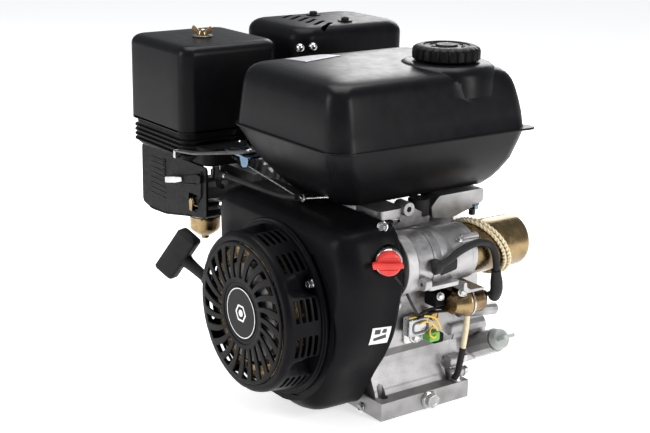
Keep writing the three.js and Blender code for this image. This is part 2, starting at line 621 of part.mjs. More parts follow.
function fuelTank() {
  const { capX, capY, neck, seam } = TANK;
  const collar = join(rodZ(capX, capY, 385, 409, 61, 24, 52), rodZ(capX, capY, 400, 412, neck + 3, 24));
  const outer = join(tankSkin(TANK_LEVELS, 0), collar);
  const withoutSeam = TANK_LEVELS.filter(([z]) => Math.abs(z - seam) > 2);
  const neckHole = rodZ(capX, capY, 380, 414, neck, 24);
  return cut(outer, tankSkin(withoutSeam, TANK.sheet), neckHole);
}

function capSeal() {
  const { capX, capY, neck } = TANK;
  return cut(rodZ(capX, capY, 412 + GAP, 413.6, neck + 3, 20), rodZ(capX, capY, 411, 415, neck - 3, 20));
}

function fuelCap() {
  const ribs = 24;
  const outline = new THREE.Shape();
  for (let i = 0; i < ribs * 2; i += 1) {
    const angle = (i / (ribs * 2)) * 2 * Math.PI;
    const radius = CAP.radius - (i % 2 ? 1.6 : 0);
    const point = [TANK.capX + radius * Math.cos(angle), TANK.capY + radius * Math.sin(angle)];
    if (i === 0) outline.moveTo(...point);
    else outline.lineTo(...point);
  }
  const skirt = plateZ(outline, CAP.skirt, CAP.top - 3);
  const crown = rodZ(TANK.capX, TANK.capY, CAP.top - 4, CAP.top, CAP.radius - 2, 24, CAP.radius - 6);
  const inside = rodZ(TANK.capX, TANK.capY, 400, 416, 34, 24);
  const land = rodZ(TANK.capX, TANK.capY, 413.6 + GAP, 417, TANK.neck + 4, 20);
  return join(cut(join(skirt, crown), inside), land);
}

add('fuel_tank', fuelTank(), GLOSS_BLACK);
add('fuel_cap_seal', capSeal(), BLACK_RUBBER);
add('fuel_cap', fuelCap(), BLACK_PLASTIC);

// Cast brackets stand on the crankcase and carry the tank on thin pads.
function tankBracketFront() {
  const foot = block(8, 66, -50, 22, CASE_TOP + GAP, 229);
  const riser = block(36, 60, -50, -34, 228, 252);
  const pad = block(36, 84, -69, -30, 242, 252);
  const fin = plateX(roundedOutline([[-36, 250], [-20, 252], [22, 230], [22, 226], [-20, 226]], 3), 58, 66);
  const ear = rodX(-25, 249, 64.5, 84, 8.5, 12);
  return cut(join(foot, riser, pad, fin, ear), rodX(-25, 249, 72, 90, 3.4, 8));
}

function tankBracketRear() {
  const foot = block(8, 46, 28, 56, CASE_TOP + GAP, 230);
  const armOutline = [[26, 226], [52, 223], [60, 222.8], [98, 233],
    [106, 236], [106, 252], [36, 252], [24, 240]];
  const arm = plateX(roundedOutline(armOutline, 2), 36, 66);
  const bolt = rodZ(56, 97, 224, 240, 7, 6);
  return join(foot, arm, bolt);
}

add('tank_bracket_front', tankBracketFront(), CAST_ALUMINIUM);
add('tank_bracket_rear', tankBracketRear(), CAST_ALUMINIUM);

// ---- Air cleaner, carburettor and controls ------------------------------------------

function airCleanerCover() {
  const { x0, x1, y0, y1, z0, z1, sheet, corner } = CLEANER;
  const outerLevels = [[z0, 0], [z1 - 18, 0], [z1 - 6, 3], [z1 - 1.5, 8], [z1, 16]];
  const outer = boxLoft({ x0, x1, y0, y1 }, outerLevels, corner, 3);
  const inner = boxLoft({ x0: x0 + sheet, x1: x1 - sheet, y0: y0 + sheet, y1: y1 - sheet },
    [[z0 - 1, 0], [z1 - 20, 0], [z1 - 9, 3], [z1 - 5, 8], [z1 - 3, 16]], corner - sheet, 3);
  return cut(outer, inner, rodZ(STUD.x, STUD.y, z1 - 20, z1 + 1, 3.6, 10));
}

function airCleanerElement() {
  const { x0, x1, y0, y1, z0, z1 } = CLEANER;
  const size = { x0: x0 + 18, x1: x1 - 18, y0: y0 + 14, y1: y1 - 14 };
  const body = boxLoft(size, [[z0 + 6, 0], [z1 - 18, 0]], 18, 3);
  return cut(body, rodZ(STUD.x, STUD.y, z0, z1 - 30, 24, 16), rodZ(STUD.x, STUD.y, z0, z1, 5, 10));
}

function airCleanerBase() {
  const { x0, x1, y0, y1, z0 } = CLEANER;
  const traySize = { x0: x0 + 4, x1: x1 - 4, y0: y0 + 4, y1: -72 };
  const tray = boxLoft(traySize, [[262, 10], [268, 0], [z0 - GAP, 0]], 20, 2);
  const ribs = [270, 276, 282, 288].map((z) =>
    boxLoft({ x0: x0 + 1, x1: x1 - 1, y0: y0 + 1, y1: -74 }, [[z, 0], [z + 2.4, 0]], 20, 2));
  const stud = rodZ(STUD.x, STUD.y, z0 - 2, 419, 3, 8);
  const shelfSize = { x0: x0 + 4, x1: x1 - 4, y0: y0 + 4, y1: y1 - 4 };
  const shelf = boxLoft(shelfSize, [[282, 0], [z0 - GAP, 0]], 16, 2);
  const shelfHollowSize = { x0: x0 + 16, x1: x1 - 16, y0: -100, y1: y1 - 14 };
  const shelfHollow = boxLoft(shelfHollowSize, [[286, 0], [z0 + 1, 0]], 10, 2);
  const bowlSize = { x0: x0 + 16, x1: x1 - 16, y0: y0 + 16, y1: -84 };
  const bowl = boxLoft(bowlSize, [[278, 0], [z0 + 1, 0]], 14, 2);
  const post = rodZ(STUD.x, STUD.y, 264, z0 - 1, 12, 12);
  const duct = join(block(-246, -204, -146, -124, 236, 266), block(-246, -204, -146, -130, 196, 240));
  const air = block(-240, -210, -142, -126, 200, 300);
  const mouth = rodY(BOWL.x, 214, -140, -120, 14, 12);
  return cut(join(cut(join(tray, shelf, ...ribs), bowl, shelfHollow), post, stud, duct), air, mouth);
}

function wingNut() {
  const { x, y } = STUD;
  const washer = rodZ(x, y, CLEANER.z1 + GAP, CLEANER.z1 + 2, 9, 16);
  const hub = rodZ(x, y, CLEANER.z1 + 1, CLEANER.z1 + 9, 6.5, 12, 5);
  const wings = [-1, 1].map((side) => {
    const outline = [[4, 410.5], [10, 411], [14, 421], [10, 423], [4, 416]];
    const mirrored = outline.map(([dx, dz]) => [side * dx, dz]);
    return plateY(roundedOutline(mirrored, 2), -1.6, 1.6).translate(x, y, 0);
  });
  return cut(join(washer, hub, ...wings), rodZ(x, y, 405, 421, 3 + GAP, 8));
}

function carburettorBody() {
  const barrelY = rodY(BOWL.x, 214, -123, -72, 19, 16);
  const bowlSeat = rodZ(BOWL.x, BOWL.y, 181, 196, 19, 16);
  const flange = block(BOWL.x - 32, BOWL.x + 32, -84, -76, 196, 232);
  const spindle = rodZ(BOWL.x + 8, -100, 230, 246, 5, 8);
  const spacer = block(BOWL.x - 20, BOWL.x + 64, -77, -66 - GAP, 200, 244);
  const throat = rodY(BOWL.x, 214, -124, -70, 12, 12);
  return cut(join(barrelY, bowlSeat, flange, spindle, spacer), throat);
}

function floatBowl() {
  const cup = rodZ(BOWL.x, BOWL.y, 163, 180.7, BOWL.radius, 24);
  const cone = rodZ(BOWL.x, BOWL.y, 155, 163, 9, 24, BOWL.radius);
  const nut = rodZ(BOWL.x, BOWL.y, 150, 156, 5.5, 6);
  const inside = rodZ(BOWL.x, BOWL.y, 166, 182, BOWL.radius - 2, 20);
  return cut(join(cup, cone, nut), inside);
}

// The cover is open at the back; its underside rises towards the blower housing.
function carburettorCover() {
  const { x0, x1, y0, y1, z0, z1, sheet } = CARB_COVER;
  const outerOutline = [[x0, z0 + 5], [x0 + 25, z0], [-262, 179], [-205, 190], [x1, 197], [x1, z1], [x0, z1]];
  const innerOutline = [[x0 + sheet, z0 + 7], [x0 + 26, z0 + sheet], [-262, 182], [-205, 193],
    [x1 + 5, 200], [x1 + 5, z1 + 5], [x0 + sheet, z1 + 5]];
  const outer = plateY(roundedOutline(outerOutline, 4), y0, y1);
  const inner = plateY(roundedOutline(innerOutline, 3), y0 + sheet, y1 + 5);
  const bowlHole = rodZ(BOWL.x, BOWL.y, z0 - 2, z0 + 23, BOWL.radius + 3, 20);
  const window = block(-203, -181, y0 - 5, y0 + 10, 200, 222);
  const leverSlot = block(-180, -168, y0 - 5, y0 + 10, 239, 251);
  return cut(outer, inner, bowlHole, window, leverSlot);
}

function chokeLever() {
  const armOutline = [[-180, 240], [-168, 240], [-166, 250], [-177, 251], [-250, 231], [-250, 224]];
  const arm = plateY(roundedOutline(armOutline, 3), -154, -151);
  const tipOutline = [[-252, 222], [-209, 234], [-211, 244], [-252, 232.5]];
  const tip = plateY(roundedOutline(tipOutline, 2), -156, -149.6);
  const shaft = rodY(-174, 245, -153, -146.4, 4, 8);
  return join(arm, tip, shaft);
}

function fuelValveLever() {
  return join(rodY(-192, 212, -152, -146.4, 5, 12), block(-195, -189, -153, -150.5, 200, 215));
}

function controlPlate() {
  const plate = block(-150, -94, -130, -100, 284, 286.4);
  const tab = block(-110, -94, -131, -128.6, 266, 286);
  const leg = block(-140, -124, -102.4, -100, 266, 285);
  return cut(join(plate, tab, leg), rodZ(-112, -116, 280, 290, 4 + GAP, 10));
}

function throttleLever() {
  const blade = plateZ(roundedOutline([[-198, -174], [-150, -172], [-104, -124], [-104, -108], [-118, -108],
    [-154, -162], [-198, -164]], 5), 287, 289.4);
  const hook = block(-198, -192, -174, -164, 276, 289);
  const pivot = rodZ(-112, -116, 281, 292, 4, 10);
  return join(blade, hook, pivot);
}

function governorArm() {
  const outline = [[-24, 176], [-12, 176], [-8, 248], [-18, 251.5], [-28, 248]];
  const plate = plateY(roundedOutline(outline, 3), -72, -69.4);
  const tab = block(-24, -12, -114, -69.4, 249.2, 251.5);
  const shaft = rodY(-18, 184, -74, -64, 4, 8);
  return join(plate, tab, shaft);
}

function governorRod() {
  return bar([[-165, -112, 272], [-120, -112, 268], [-60, -112, 260], [-18, -112, 254.2]], 1.3, 6, 6);
}

function fuelHose() {
  return bar([[-203, -100, 222], [-178, -120, 234], [-146, -134, 254], [-108, -132, 255], [-40, -124, 252.5],
    [-2, -122, 257]], 3.5, 6, 14);
}

add('air_cleaner_base', airCleanerBase(), BLACK_PLASTIC);
add('air_cleaner_element', airCleanerElement(), FILTER_PAPER);
add('air_cleaner_cover', airCleanerCover(), GLOSS_BLACK);
add('wing_nut', wingNut(), GOLD_ZINC);
add('carburettor_body', carburettorBody(), CAST_ALUMINIUM);
add('float_bowl', floatBowl(), GOLD_ZINC);
add('carburettor_cover', carburettorCover(), BLACK_PLASTIC);
add('choke_lever', chokeLever(), BRIGHT_ZINC);
add('fuel_valve_lever', fuelValveLever(), GOLD_ZINC);
add('control_plate', controlPlate(), BLUE_ZINC);
add('throttle_lever', throttleLever(), BRIGHT_ZINC);
add('governor_arm', governorArm(), BRIGHT_ZINC);
add('governor_rod', governorRod(), BRIGHT_ZINC);
add('fuel_hose', fuelHose(), BLACK_RUBBER);

// ---- Exhaust ------------------------------------------------------------------------

function exhaustElbow() {
  const flange = block(-222, -160, 66 + GAP, 74, 196, 250);
  const route = [[-194, 72, 222], [-194, 88, 222], [-226, 100, 262], [-240, 96, 290], [-240, 96, 302]];
  const pipe = bar(route, 14, 8, 8);
  return cut(join(flange, pipe), rodY(-194, 222, 60, 84, 10, 10));
}

function mufflerBody() {
  const { x0, x1, y0, y1, z0, z1 } = MUFFLER;
  const body = boxLoft({ x0, x1, y0, y1 }, [[z0, 8], [z0 + 6, 0], [z1 - 6, 0], [z1, 8]], 26, 3);
  const hollowSize = { x0: x0 + 3, x1: x1 - 3, y0: y0 + 3, y1: y1 - 3 };
  const hollow = boxLoft(hollowSize, [[z0 + 3, 5], [z1 - 3, 5]], 22, 3);
  const outlet = rodY(-243, 360, y1 - 10, y1 + 8, 12, 12);
  return cut(join(body, outlet), hollow, rodY(-243, 360, y1 - 20, y1 + 9, 9, 12));
}

function mufflerGuard() {
  const { x0, x1, y0, y1, z0, z1, sheet } = GUARD;
  const outerLevels = [[z0, 0], [z1 - 16, 0], [z1 - 6, 4], [z1 - 1.5, 11], [z1, 20]];
  const innerLevels = [[z0 - 1, 0], [z1 - 17, 0], [z1 - 8, 4], [z1 - 3.5, 11], [z1 - sheet, 20]];
  const outer = boxLoft({ x0, x1, y0, y1 }, outerLevels, 26, 2);
  const innerSize = { x0: x0 + sheet, x1: x1 - sheet, y0: y0 + sheet, y1: y1 - sheet };
  const inner = boxLoft(innerSize, innerLevels, 24, 2);
  const slots = Array.from({ length: 6 }, (_, i) =>
    block(-21, 21, -3.5, 3.5, z1 - 10, z1 + 10).rotateZ(2.22).translate(-278 + i * 18, 52, 0));
  const outlet = rodY(-243, 360, y1 - 20, y1 + 10, 16, 12);
  return cut(outer, inner, ...slots, outlet);
}

add('exhaust_elbow', exhaustElbow(), DARK_STEEL);
add('muffler_body', mufflerBody(), DARK_STEEL);
add('muffler_guard', mufflerGuard(), BLACK_PAINT);

// ---- Electric starter ---------------------------------------------------------------

function starterHousing() {
  const { x, z, nose, join: seam } = STARTER;
  const flange = rodY(x, z, nose, nose + 16, 38, 24);
  const gearcase = rodY(x, z, nose + 10, -6, 36, 24);
  const frame = rodY(x, z, -10, seam, 33, 24);
  const ears = [[x + 2, z - 46], [x - 34, z + 34]].map(([ex, ez]) =>
    join(rodY(ex, ez, nose, nose + 12, 10, 12), rodBetween([ex, nose + 6, ez], [x, nose + 6, z], 6, 8)));
  const boltLine = rodY(x + 27, z + 24, 10, seam, 5, 8);
  const foot = block(74 + GAP, x, -58, 10, z - 22, z + 6);
  const hollow = rodY(x, z, nose - 1, seam + 1, 27, 24);
  const pinionSide = block(x - 60, x - 18, nose - 1, nose + 11, z - 20, z + 6);
  return cut(join(flange, gearcase, frame, boltLine, foot, ...ears), hollow, pinionSide);
}

function starterCan() {
  const { x, z, join: seam, end, radius } = STARTER;
  return cut(rodY(x, z, seam + GAP, end, radius, 32), rodY(x, z, seam - 1, end - 3, radius - 4, 24));
}

function starterArmature() {
  const { x, z, end } = STARTER;
  const shaft = rodY(x, z, -93, end - 6, 4, 10);
  const core = rodY(x, z, -6, end - 32, 22, 20);
  const commutator = rodY(x, z, end - 28, end - 12, 13, 16);
  return join(shaft, core, commutator);
}

function starterPinion() {
  const { x, z } = STARTER;
  return cut(gearDisc(x, z, -76, -62, 13, 10), rodY(x, z, -80, -50, 4 + GAP, 10));
}

function solenoid() {
  const { x, z, radius, front, end } = SOLENOID;
  const terminal = rodY(x - 6, z - 2, end - 1, end + 12, 3, 8);
  return join(rodY(x, z, front, end, radius, 20), terminal);
}

function solenoidBracket() {
  const { x, z, back, front } = SOLENOID;
  const saddle = rodY(x, z, back, front - GAP, 17.5, 20);
  const plate = block(76, x, back + 4, front - GAP, z - 14, z + 14);
  const strapUp = block(x - 12, x + 2, front - 12, front - GAP, 150, 163.4);
  return join(saddle, plate, strapUp);
}

function starterCable() {
  return bar([[149, -38, 200], [149, -22, 204], [149, -2, 213], [148, 25, 218], [146, 46, 211],
    [145.5, 56, 194], [143, 61, 170], [138, 67, 150], [128, 74, 138]], 4.2, 6, 20);
}

function groundLead() {
  const route = [[103, 56, 116], [103, 54, 90], [101, 53, 70], [99, 51, 50], [97, 50, 36], [93, 49, 26.5]];
  return bar(route, 3.4, 6, 12);
}

add('starter_housing', starterHousing(), CAST_ALUMINIUM);
add('starter_can', starterCan(), GOLD_ZINC);
add('starter_armature', starterArmature(), DARK_STEEL);
add('starter_pinion', starterPinion(), MACHINED_STEEL);
add('solenoid', solenoid(), GOLD_ZINC);
add('solenoid_bracket', solenoidBracket(), GOLD_ZINC);
add('starter_cable', starterCable(), BLACK_RUBBER);
add('ground_lead', groundLead(), CREAM_SLEEVE);

// ---- Switches, sensor and dipstick --------------------------------------------------

function oilAlertUnit() {
  const can = boxLoft({ x0: 78, x1: 94, y0: -26, y1: 6 }, [[95, 0], [116, 0]], 5, 2);
  const ear = block(74 + GAP, 78.5, -20, 0, 80, 98);
  return join(can, ear);
}

function switchBase() {
  return rodZ(0, 0, -4, 6, SWITCH.radius, 20).applyMatrix4(SWITCH_TURN);
}

function switchKnob() {
  const disc = rodZ(0, 0, 6 + GAP, 13, 14, 24, 13);
  const grip = block(-19, 15, -3.2, 3.2, 12, 19.5);
  return join(disc, grip).applyMatrix4(SWITCH_TURN);
}

function dipstick() {
  const knob = join(rodBetween([0, 0, 1], [0, 0, 12], 13, 16, 12), block(-10, 10, -3, 3, 11, 27));
  const blade = block(-2.5, 2.5, -1, 1, -46, 3);
  const stick = join(knob, blade, rodBetween([0, 0, -12], [0, 0, 3], 8.5, 12));
  const out = new THREE.Vector3(...FILLER.mouth).sub(new THREE.Vector3(...FILLER.foot)).normalize();
  const turn = new THREE.Quaternion().setFromUnitVectors(new THREE.Vector3(0, 0, 1), out);
  return stick.applyQuaternion(turn).translate(...FILLER.mouth);
}

add('oil_alert_unit', oilAlertUnit(), BRIGHT_ZINC);
add('switch_base', switchBase(), BRIGHT_ZINC);
add('switch_knob', switchKnob(), RED_PLASTIC);
add('dipstick', dipstick(), GREY_PLASTIC);

export default engine;
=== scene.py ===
# Small single-cylinder gasoline engine with recoil and electric start.
# Sizes below are millimetres in the CAD frame: crank axis along Y at X = 0, Z = 132, base on Z = 0,
# recoil starter towards -Y, power shaft +Y, electric starter +X, cylinder head -X.
import json
import math

import bmesh
import bpy
from mathutils import Matrix, Vector
from mathutils.bvhtree import BVHTree


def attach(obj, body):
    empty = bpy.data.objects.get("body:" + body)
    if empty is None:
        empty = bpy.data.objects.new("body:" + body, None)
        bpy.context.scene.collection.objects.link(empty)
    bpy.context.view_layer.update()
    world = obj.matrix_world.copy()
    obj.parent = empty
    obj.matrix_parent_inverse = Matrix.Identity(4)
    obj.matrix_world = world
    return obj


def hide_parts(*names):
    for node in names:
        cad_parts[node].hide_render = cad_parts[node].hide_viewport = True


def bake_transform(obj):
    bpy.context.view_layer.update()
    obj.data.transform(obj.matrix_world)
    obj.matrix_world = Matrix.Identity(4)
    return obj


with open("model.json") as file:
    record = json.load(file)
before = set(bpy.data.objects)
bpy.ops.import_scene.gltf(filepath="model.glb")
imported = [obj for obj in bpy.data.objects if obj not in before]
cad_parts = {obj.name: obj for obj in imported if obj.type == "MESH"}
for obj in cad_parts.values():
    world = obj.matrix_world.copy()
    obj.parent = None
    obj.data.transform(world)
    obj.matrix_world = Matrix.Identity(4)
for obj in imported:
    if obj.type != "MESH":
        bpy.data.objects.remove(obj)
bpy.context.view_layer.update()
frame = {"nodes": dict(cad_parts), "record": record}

MM = 0.001
CRANK_Z = 132.0
scene = bpy.context.scene
replaced = set()


# ---- Camera, floor and light ------------------------------------------------------------

def make_camera():
    data = bpy.data.cameras.new("camera")
    data.lens = 73.8
    data.sensor_width = 36.0
    data.clip_end = 60.0
    camera = bpy.data.objects.new("camera", data)
    azimuth, elevation, roll = math.radians(53.9), math.radians(16.2), math.radians(1.05)
    back = Vector((math.sin(azimuth) * math.cos(elevation), -math.cos(azimuth) * math.cos(elevation),
                   math.sin(elevation)))
    level_right = Vector((math.cos(azimuth), math.sin(azimuth), 0.0))
    level_up = back.cross(level_right)
    right = level_right * math.cos(roll) + level_up * math.sin(roll)
    up = back.cross(right)
    turn = Matrix((right, up, back)).transposed().to_4x4()
    camera.matrix_world = Matrix.Translation(Vector((1212.6, -967.2, 665.1)) * MM) @ turn
    scene.collection.objects.link(camera)
    scene.camera = camera


def area_light(name, place, aim, size, power):
    data = bpy.data.lights.new(name, "AREA")
    data.shape = "RECTANGLE"
    data.size, data.size_y = size
    data.energy = power
    light = bpy.data.objects.new(name, data)
    light.location = place
    light.rotation_mode = "QUATERNION"
    light.rotation_quaternion = (Vector(aim) - Vector(place)).to_track_quat("-Z", "Y")
    scene.collection.objects.link(light)


def make_studio():
    world = bpy.data.worlds.new("studio")
    world.use_nodes = True
    background = world.node_tree.nodes["Background"]
    background.inputs["Color"].default_value = (0.93, 0.95, 1.0, 1.0)
    background.inputs["Strength"].default_value = 0.32
    scene.world = world
    centre = (0.0, 0.0, 0.2)
    area_light("overhead_softbox", (-0.3, 0.2, 1.9), centre, (1.3, 1.3), 36.0)
    area_light("left_softbox", (-0.7, -2.0, 1.1), centre, (0.7, 1.4), 24.0)
    area_light("right_softbox", (2.1, 0.7, 0.9), centre, (0.6, 1.3), 26.0)
    area_light("rear_softbox", (-1.6, 1.8, 1.2), centre, (1.2, 1.2), 22.0)
    scene.view_settings.view_transform = "Standard"


def make_floor():
    bm = bmesh.new()
    bmesh.ops.create_circle(bm, cap_ends=True, segments=64, radius=30.0)
    mesh = bpy.data.meshes.new("floor")
    bm.to_mesh(mesh)
    bm.free()
    floor = bpy.data.objects.new("floor", mesh)
    scene.collection.objects.link(floor)
    material = bpy.data.materials.new("floor_pale")
    material.use_nodes = True
    shader = material.node_tree.nodes["Principled BSDF"]
    shader.inputs["Base Color"].default_value = (0.9, 0.9, 0.9, 1.0)
    shader.inputs["Emission Color"].default_value = (1.0, 1.0, 1.0, 1.0)
    shader.inputs["Emission Strength"].default_value = 0.62
    shader.inputs["Roughness"].default_value = 0.9
    shader.inputs["Specular IOR Level"].default_value = 0.1
    mesh.materials.append(material)


# ---- Materials ----------------------------------------------------------------------------

def set_inputs(node, values):
    for socket, value in values.items():
        node.inputs[socket].default_value = value


def surface(name, colours, roughness, metallic=0.0, coat=0.0, coat_roughness=0.2, specular=0.5,
            blotch=30.0, rough_spread=0.1, grain=1500.0, bump=0.2, depth=0.0001, peel=0.0,
            stretch=(1.0, 1.0, 1.0), speck=0.0, sheen=0.0, subsurface=0.0):
    """A finish: colours drift between the given ones over blotches, roughness wanders, and the
    surface carries a fine grain and, where peel is set, the long waves of sprayed paint."""
    material = bpy.data.materials.new(name)
    material.use_nodes = True
    tree = material.node_tree
    shader = tree.nodes["Principled BSDF"]
    set_inputs(shader, {"Metallic": metallic, "Coat Weight": coat, "Coat Roughness": coat_roughness,
                        "Specular IOR Level": specular, "Sheen Weight": sheen,
                        "Subsurface Weight": subsurface, "Subsurface Scale": 0.002})

    def node(kind, **values):
        made = tree.nodes.new(kind)
        set_inputs(made, values)
        return made

    def noise(scale, detail, source):
        made = node("ShaderNodeTexNoise", Scale=scale, Detail=detail)
        tree.links.new(source, made.inputs["Vector"])
        return made.outputs["Fac"]

    def bumps(strength, distance, height):
        made = node("ShaderNodeBump", Strength=strength, Distance=distance)
        tree.links.new(height, made.inputs["Height"])
        return made

    coordinates = node("ShaderNodeTexCoord").outputs["Object"]
    mapping = node("ShaderNodeMapping", Scale=stretch)
    tree.links.new(coordinates, mapping.inputs["Vector"])
    stretched = mapping.outputs["Vector"]

    ramp = node("ShaderNodeValToRGB")
    ramp.color_ramp.elements.remove(ramp.color_ramp.elements[0])
    for i, colour in enumerate(colours):
        place = 0.3 + 0.4 * i / max(len(colours) - 1, 1)
        element = ramp.color_ramp.elements[0] if i == 0 else ramp.color_ramp.elements.new(place)
        element.position = place
        element.color = (*colour, 1.0)
    tree.links.new(noise(blotch, 5.0, coordinates), ramp.inputs["Fac"])
    colour_out = ramp.outputs["Color"]
    if speck:
        specks = node("ShaderNodeMapRange")
        set_inputs(specks, {"From Min": 0.62, "From Max": 0.75, "To Max": speck})
        tree.links.new(noise(grain * 0.5, 2.0, coordinates), specks.inputs["Value"])
        mix = node("ShaderNodeMix")
        mix.data_type = "RGBA"
        speck_colour = [min(1.0, c * 1.8 + 0.02) for c in colours[-1]]
        mix.inputs["B"].default_value = (*speck_colour, 1.0)
        tree.links.new(specks.outputs["Result"], mix.inputs["Factor"])
        tree.links.new(colour_out, mix.inputs["A"])
        colour_out = mix.outputs["Result"]
    tree.links.new(colour_out, shader.inputs["Base Color"])

    rough = node("ShaderNodeMapRange")
    set_inputs(rough, {"From Min": 0.3, "From Max": 0.7, "To Min": max(0.03, roughness - rough_spread),
                       "To Max": min(1.0, roughness + rough_spread)})
    tree.links.new(noise(blotch * 4.0, 4.0, stretched), rough.inputs["Value"])
    tree.links.new(rough.outputs["Result"], shader.inputs["Roughness"])

    fine = bumps(bump, depth, noise(grain, 3.0, stretched))
    if peel:
        waves = bumps(peel, 0.0002, noise(140.0, 1.0, coordinates))
        tree.links.new(waves.outputs["Normal"], fine.inputs["Normal"])
    tree.links.new(fine.outputs["Normal"], shader.inputs["Normal"])
    return material


FINISHES = {  # name: colours, roughness, the rest of surface's settings
    "cast_aluminium": ([(0.31, 0.302, 0.304), (0.40, 0.39, 0.391), (0.46, 0.449, 0.447)], 0.40, {
        "metallic": 0.88, "blotch": 45.0, "rough_spread": 0.08, "grain": 1300.0, "bump": 0.45,
        "depth": 0.0002, "speck": 0.35}),
    "machined_steel": ([(0.36, 0.37, 0.375), (0.48, 0.485, 0.49)], 0.26, {
        "metallic": 1.0, "blotch": 60.0, "grain": 900.0, "stretch": (1.0, 6.0, 1.0)}),
    "dark_steel": ([(0.09, 0.088, 0.086), (0.15, 0.145, 0.14), (0.12, 0.10, 0.085)], 0.5, {
        "metallic": 0.9, "blotch": 50.0, "grain": 1100.0, "bump": 0.4, "depth": 0.00015, "speck": 0.2}),
    "black_paint": ([(0.0038, 0.0038, 0.0046), (0.0062, 0.0062, 0.0070)], 0.36, {
        "specular": 0.06, "blotch": 25.0, "rough_spread": 0.05, "grain": 1700.0, "bump": 0.12,
        "peel": 0.05, "speck": 0.12}),
    "gloss_black": ([(0.0038, 0.0038, 0.0045), (0.0060, 0.0060, 0.0068)], 0.33, {
        "specular": 0.09, "coat": 0.03, "coat_roughness": 0.22, "blotch": 20.0, "rough_spread": 0.04,
        "grain": 1600.0, "bump": 0.08, "peel": 0.06, "speck": 0.08}),
    "black_plastic": ([(0.0048, 0.0048, 0.0054), (0.0080, 0.0080, 0.0088)], 0.42, {
        "specular": 0.07, "blotch": 40.0, "grain": 2200.0, "bump": 0.35, "depth": 0.00015, "speck": 0.15}),
    "black_rubber": ([(0.009, 0.009, 0.0094), (0.016, 0.016, 0.0164)], 0.60, {
        "specular": 0.22, "blotch": 35.0, "grain": 1800.0, "bump": 0.4, "depth": 0.0002, "speck": 0.2}),
    "gold_zinc": ([(0.11, 0.08, 0.045), (0.21, 0.15, 0.07), (0.33, 0.235, 0.115),
                   (0.18, 0.12, 0.068)], 0.25, {
        "metallic": 1.0, "blotch": 28.0, "rough_spread": 0.08, "grain": 1200.0, "speck": 0.2}),
    "bright_zinc": ([(0.44, 0.44, 0.43), (0.60, 0.60, 0.59)], 0.24, {
        "metallic": 1.0, "blotch": 70.0, "grain": 1000.0, "speck": 0.2}),
    "blue_zinc": ([(0.09, 0.16, 0.24), (0.17, 0.25, 0.33), (0.15, 0.20, 0.20)], 0.26, {
        "metallic": 1.0, "blotch": 45.0, "grain": 1000.0}),
    "red_plastic": ([(0.62, 0.030, 0.022), (0.74, 0.045, 0.034)], 0.38, {
        "blotch": 60.0, "bump": 0.15, "subsurface": 0.06}),
    "grey_plastic": ([(0.36, 0.385, 0.37), (0.46, 0.485, 0.47)], 0.45, {
        "blotch": 60.0, "subsurface": 0.08}),
    "cream_sleeve": ([(0.70, 0.58, 0.36), (0.84, 0.74, 0.52)], 0.8, {
        "blotch": 300.0, "grain": 900.0, "bump": 0.9, "depth": 0.0004, "sheen": 0.3}),
    "filter_paper": ([(0.60, 0.50, 0.32), (0.72, 0.62, 0.42)], 0.85, {
        "blotch": 80.0, "grain": 900.0, "bump": 0.6, "depth": 0.0003}),
    "ceramic_white": ([(0.80, 0.79, 0.76), (0.88, 0.87, 0.84)], 0.18, {
        "coat": 0.4, "blotch": 60.0, "grain": 1200.0, "bump": 0.05}),
    # the rest are not slots of the record
    "white_print": ([(0.76, 0.76, 0.76), (0.84, 0.84, 0.84)], 0.45, {
        "blotch": 90.0, "bump": 0.1, "depth": 0.00005}),
    "dark_print": ([(0.02, 0.02, 0.02), (0.04, 0.04, 0.04)], 0.5, {
        "blotch": 90.0, "bump": 0.1, "depth": 0.00005}),
    "silver_foil": ([(0.30, 0.30, 0.32), (0.42, 0.42, 0.44)], 0.42, {
        "metallic": 0.55, "blotch": 120.0, "bump": 0.15, "depth": 0.00005}),
    "yellow_wire": ([(0.80, 0.46, 0.02), (0.90, 0.56, 0.05)], 0.4, {"blotch": 120.0, "bump": 0.15}),
    "green_plastic": ([(0.08, 0.34, 0.03), (0.16, 0.48, 0.06)], 0.35, {
        "blotch": 90.0, "bump": 0.15, "subsurface": 0.05}),
}
MATERIALS = {name: surface(name, colours, roughness, **settings)
             for name, (colours, roughness, settings) in FINISHES.items()}


# ---- Outlines and paths -------------------------------------------------------------------

def soften(points, radius, steps=5):
    """The closed outline with each corner rounded by an arc-like curve of the given reach."""
    made = []
    count = len(points)
    for i, point in enumerate(points):
        corner = Vector(point)
        before, after = Vector(points[i - 1]), Vector(points[(i + 1) % count])
        reach_in = min(radius, (before - corner).length / 2.05)
        reach_out = min(radius, (after - corner).length / 2.05)
        start = corner + (before - corner).normalized() * reach_in
        end = corner + (after - corner).normalized() * reach_out
        for step in range(steps + 1):
            t = step / steps
            made.append(tuple(start * (1 - t) ** 2 + corner * 2 * t * (1 - t) + end * t * t))
    return made


def rectangle(u0, u1, v0, v1):
    return [(u0, v0), (u1, v0), (u1, v1), (u0, v1)]


def circle(radius, steps=32):
    return [(radius * math.cos(2 * math.pi * i / steps), radius * math.sin(2 * math.pi * i / steps))
            for i in range(steps)]


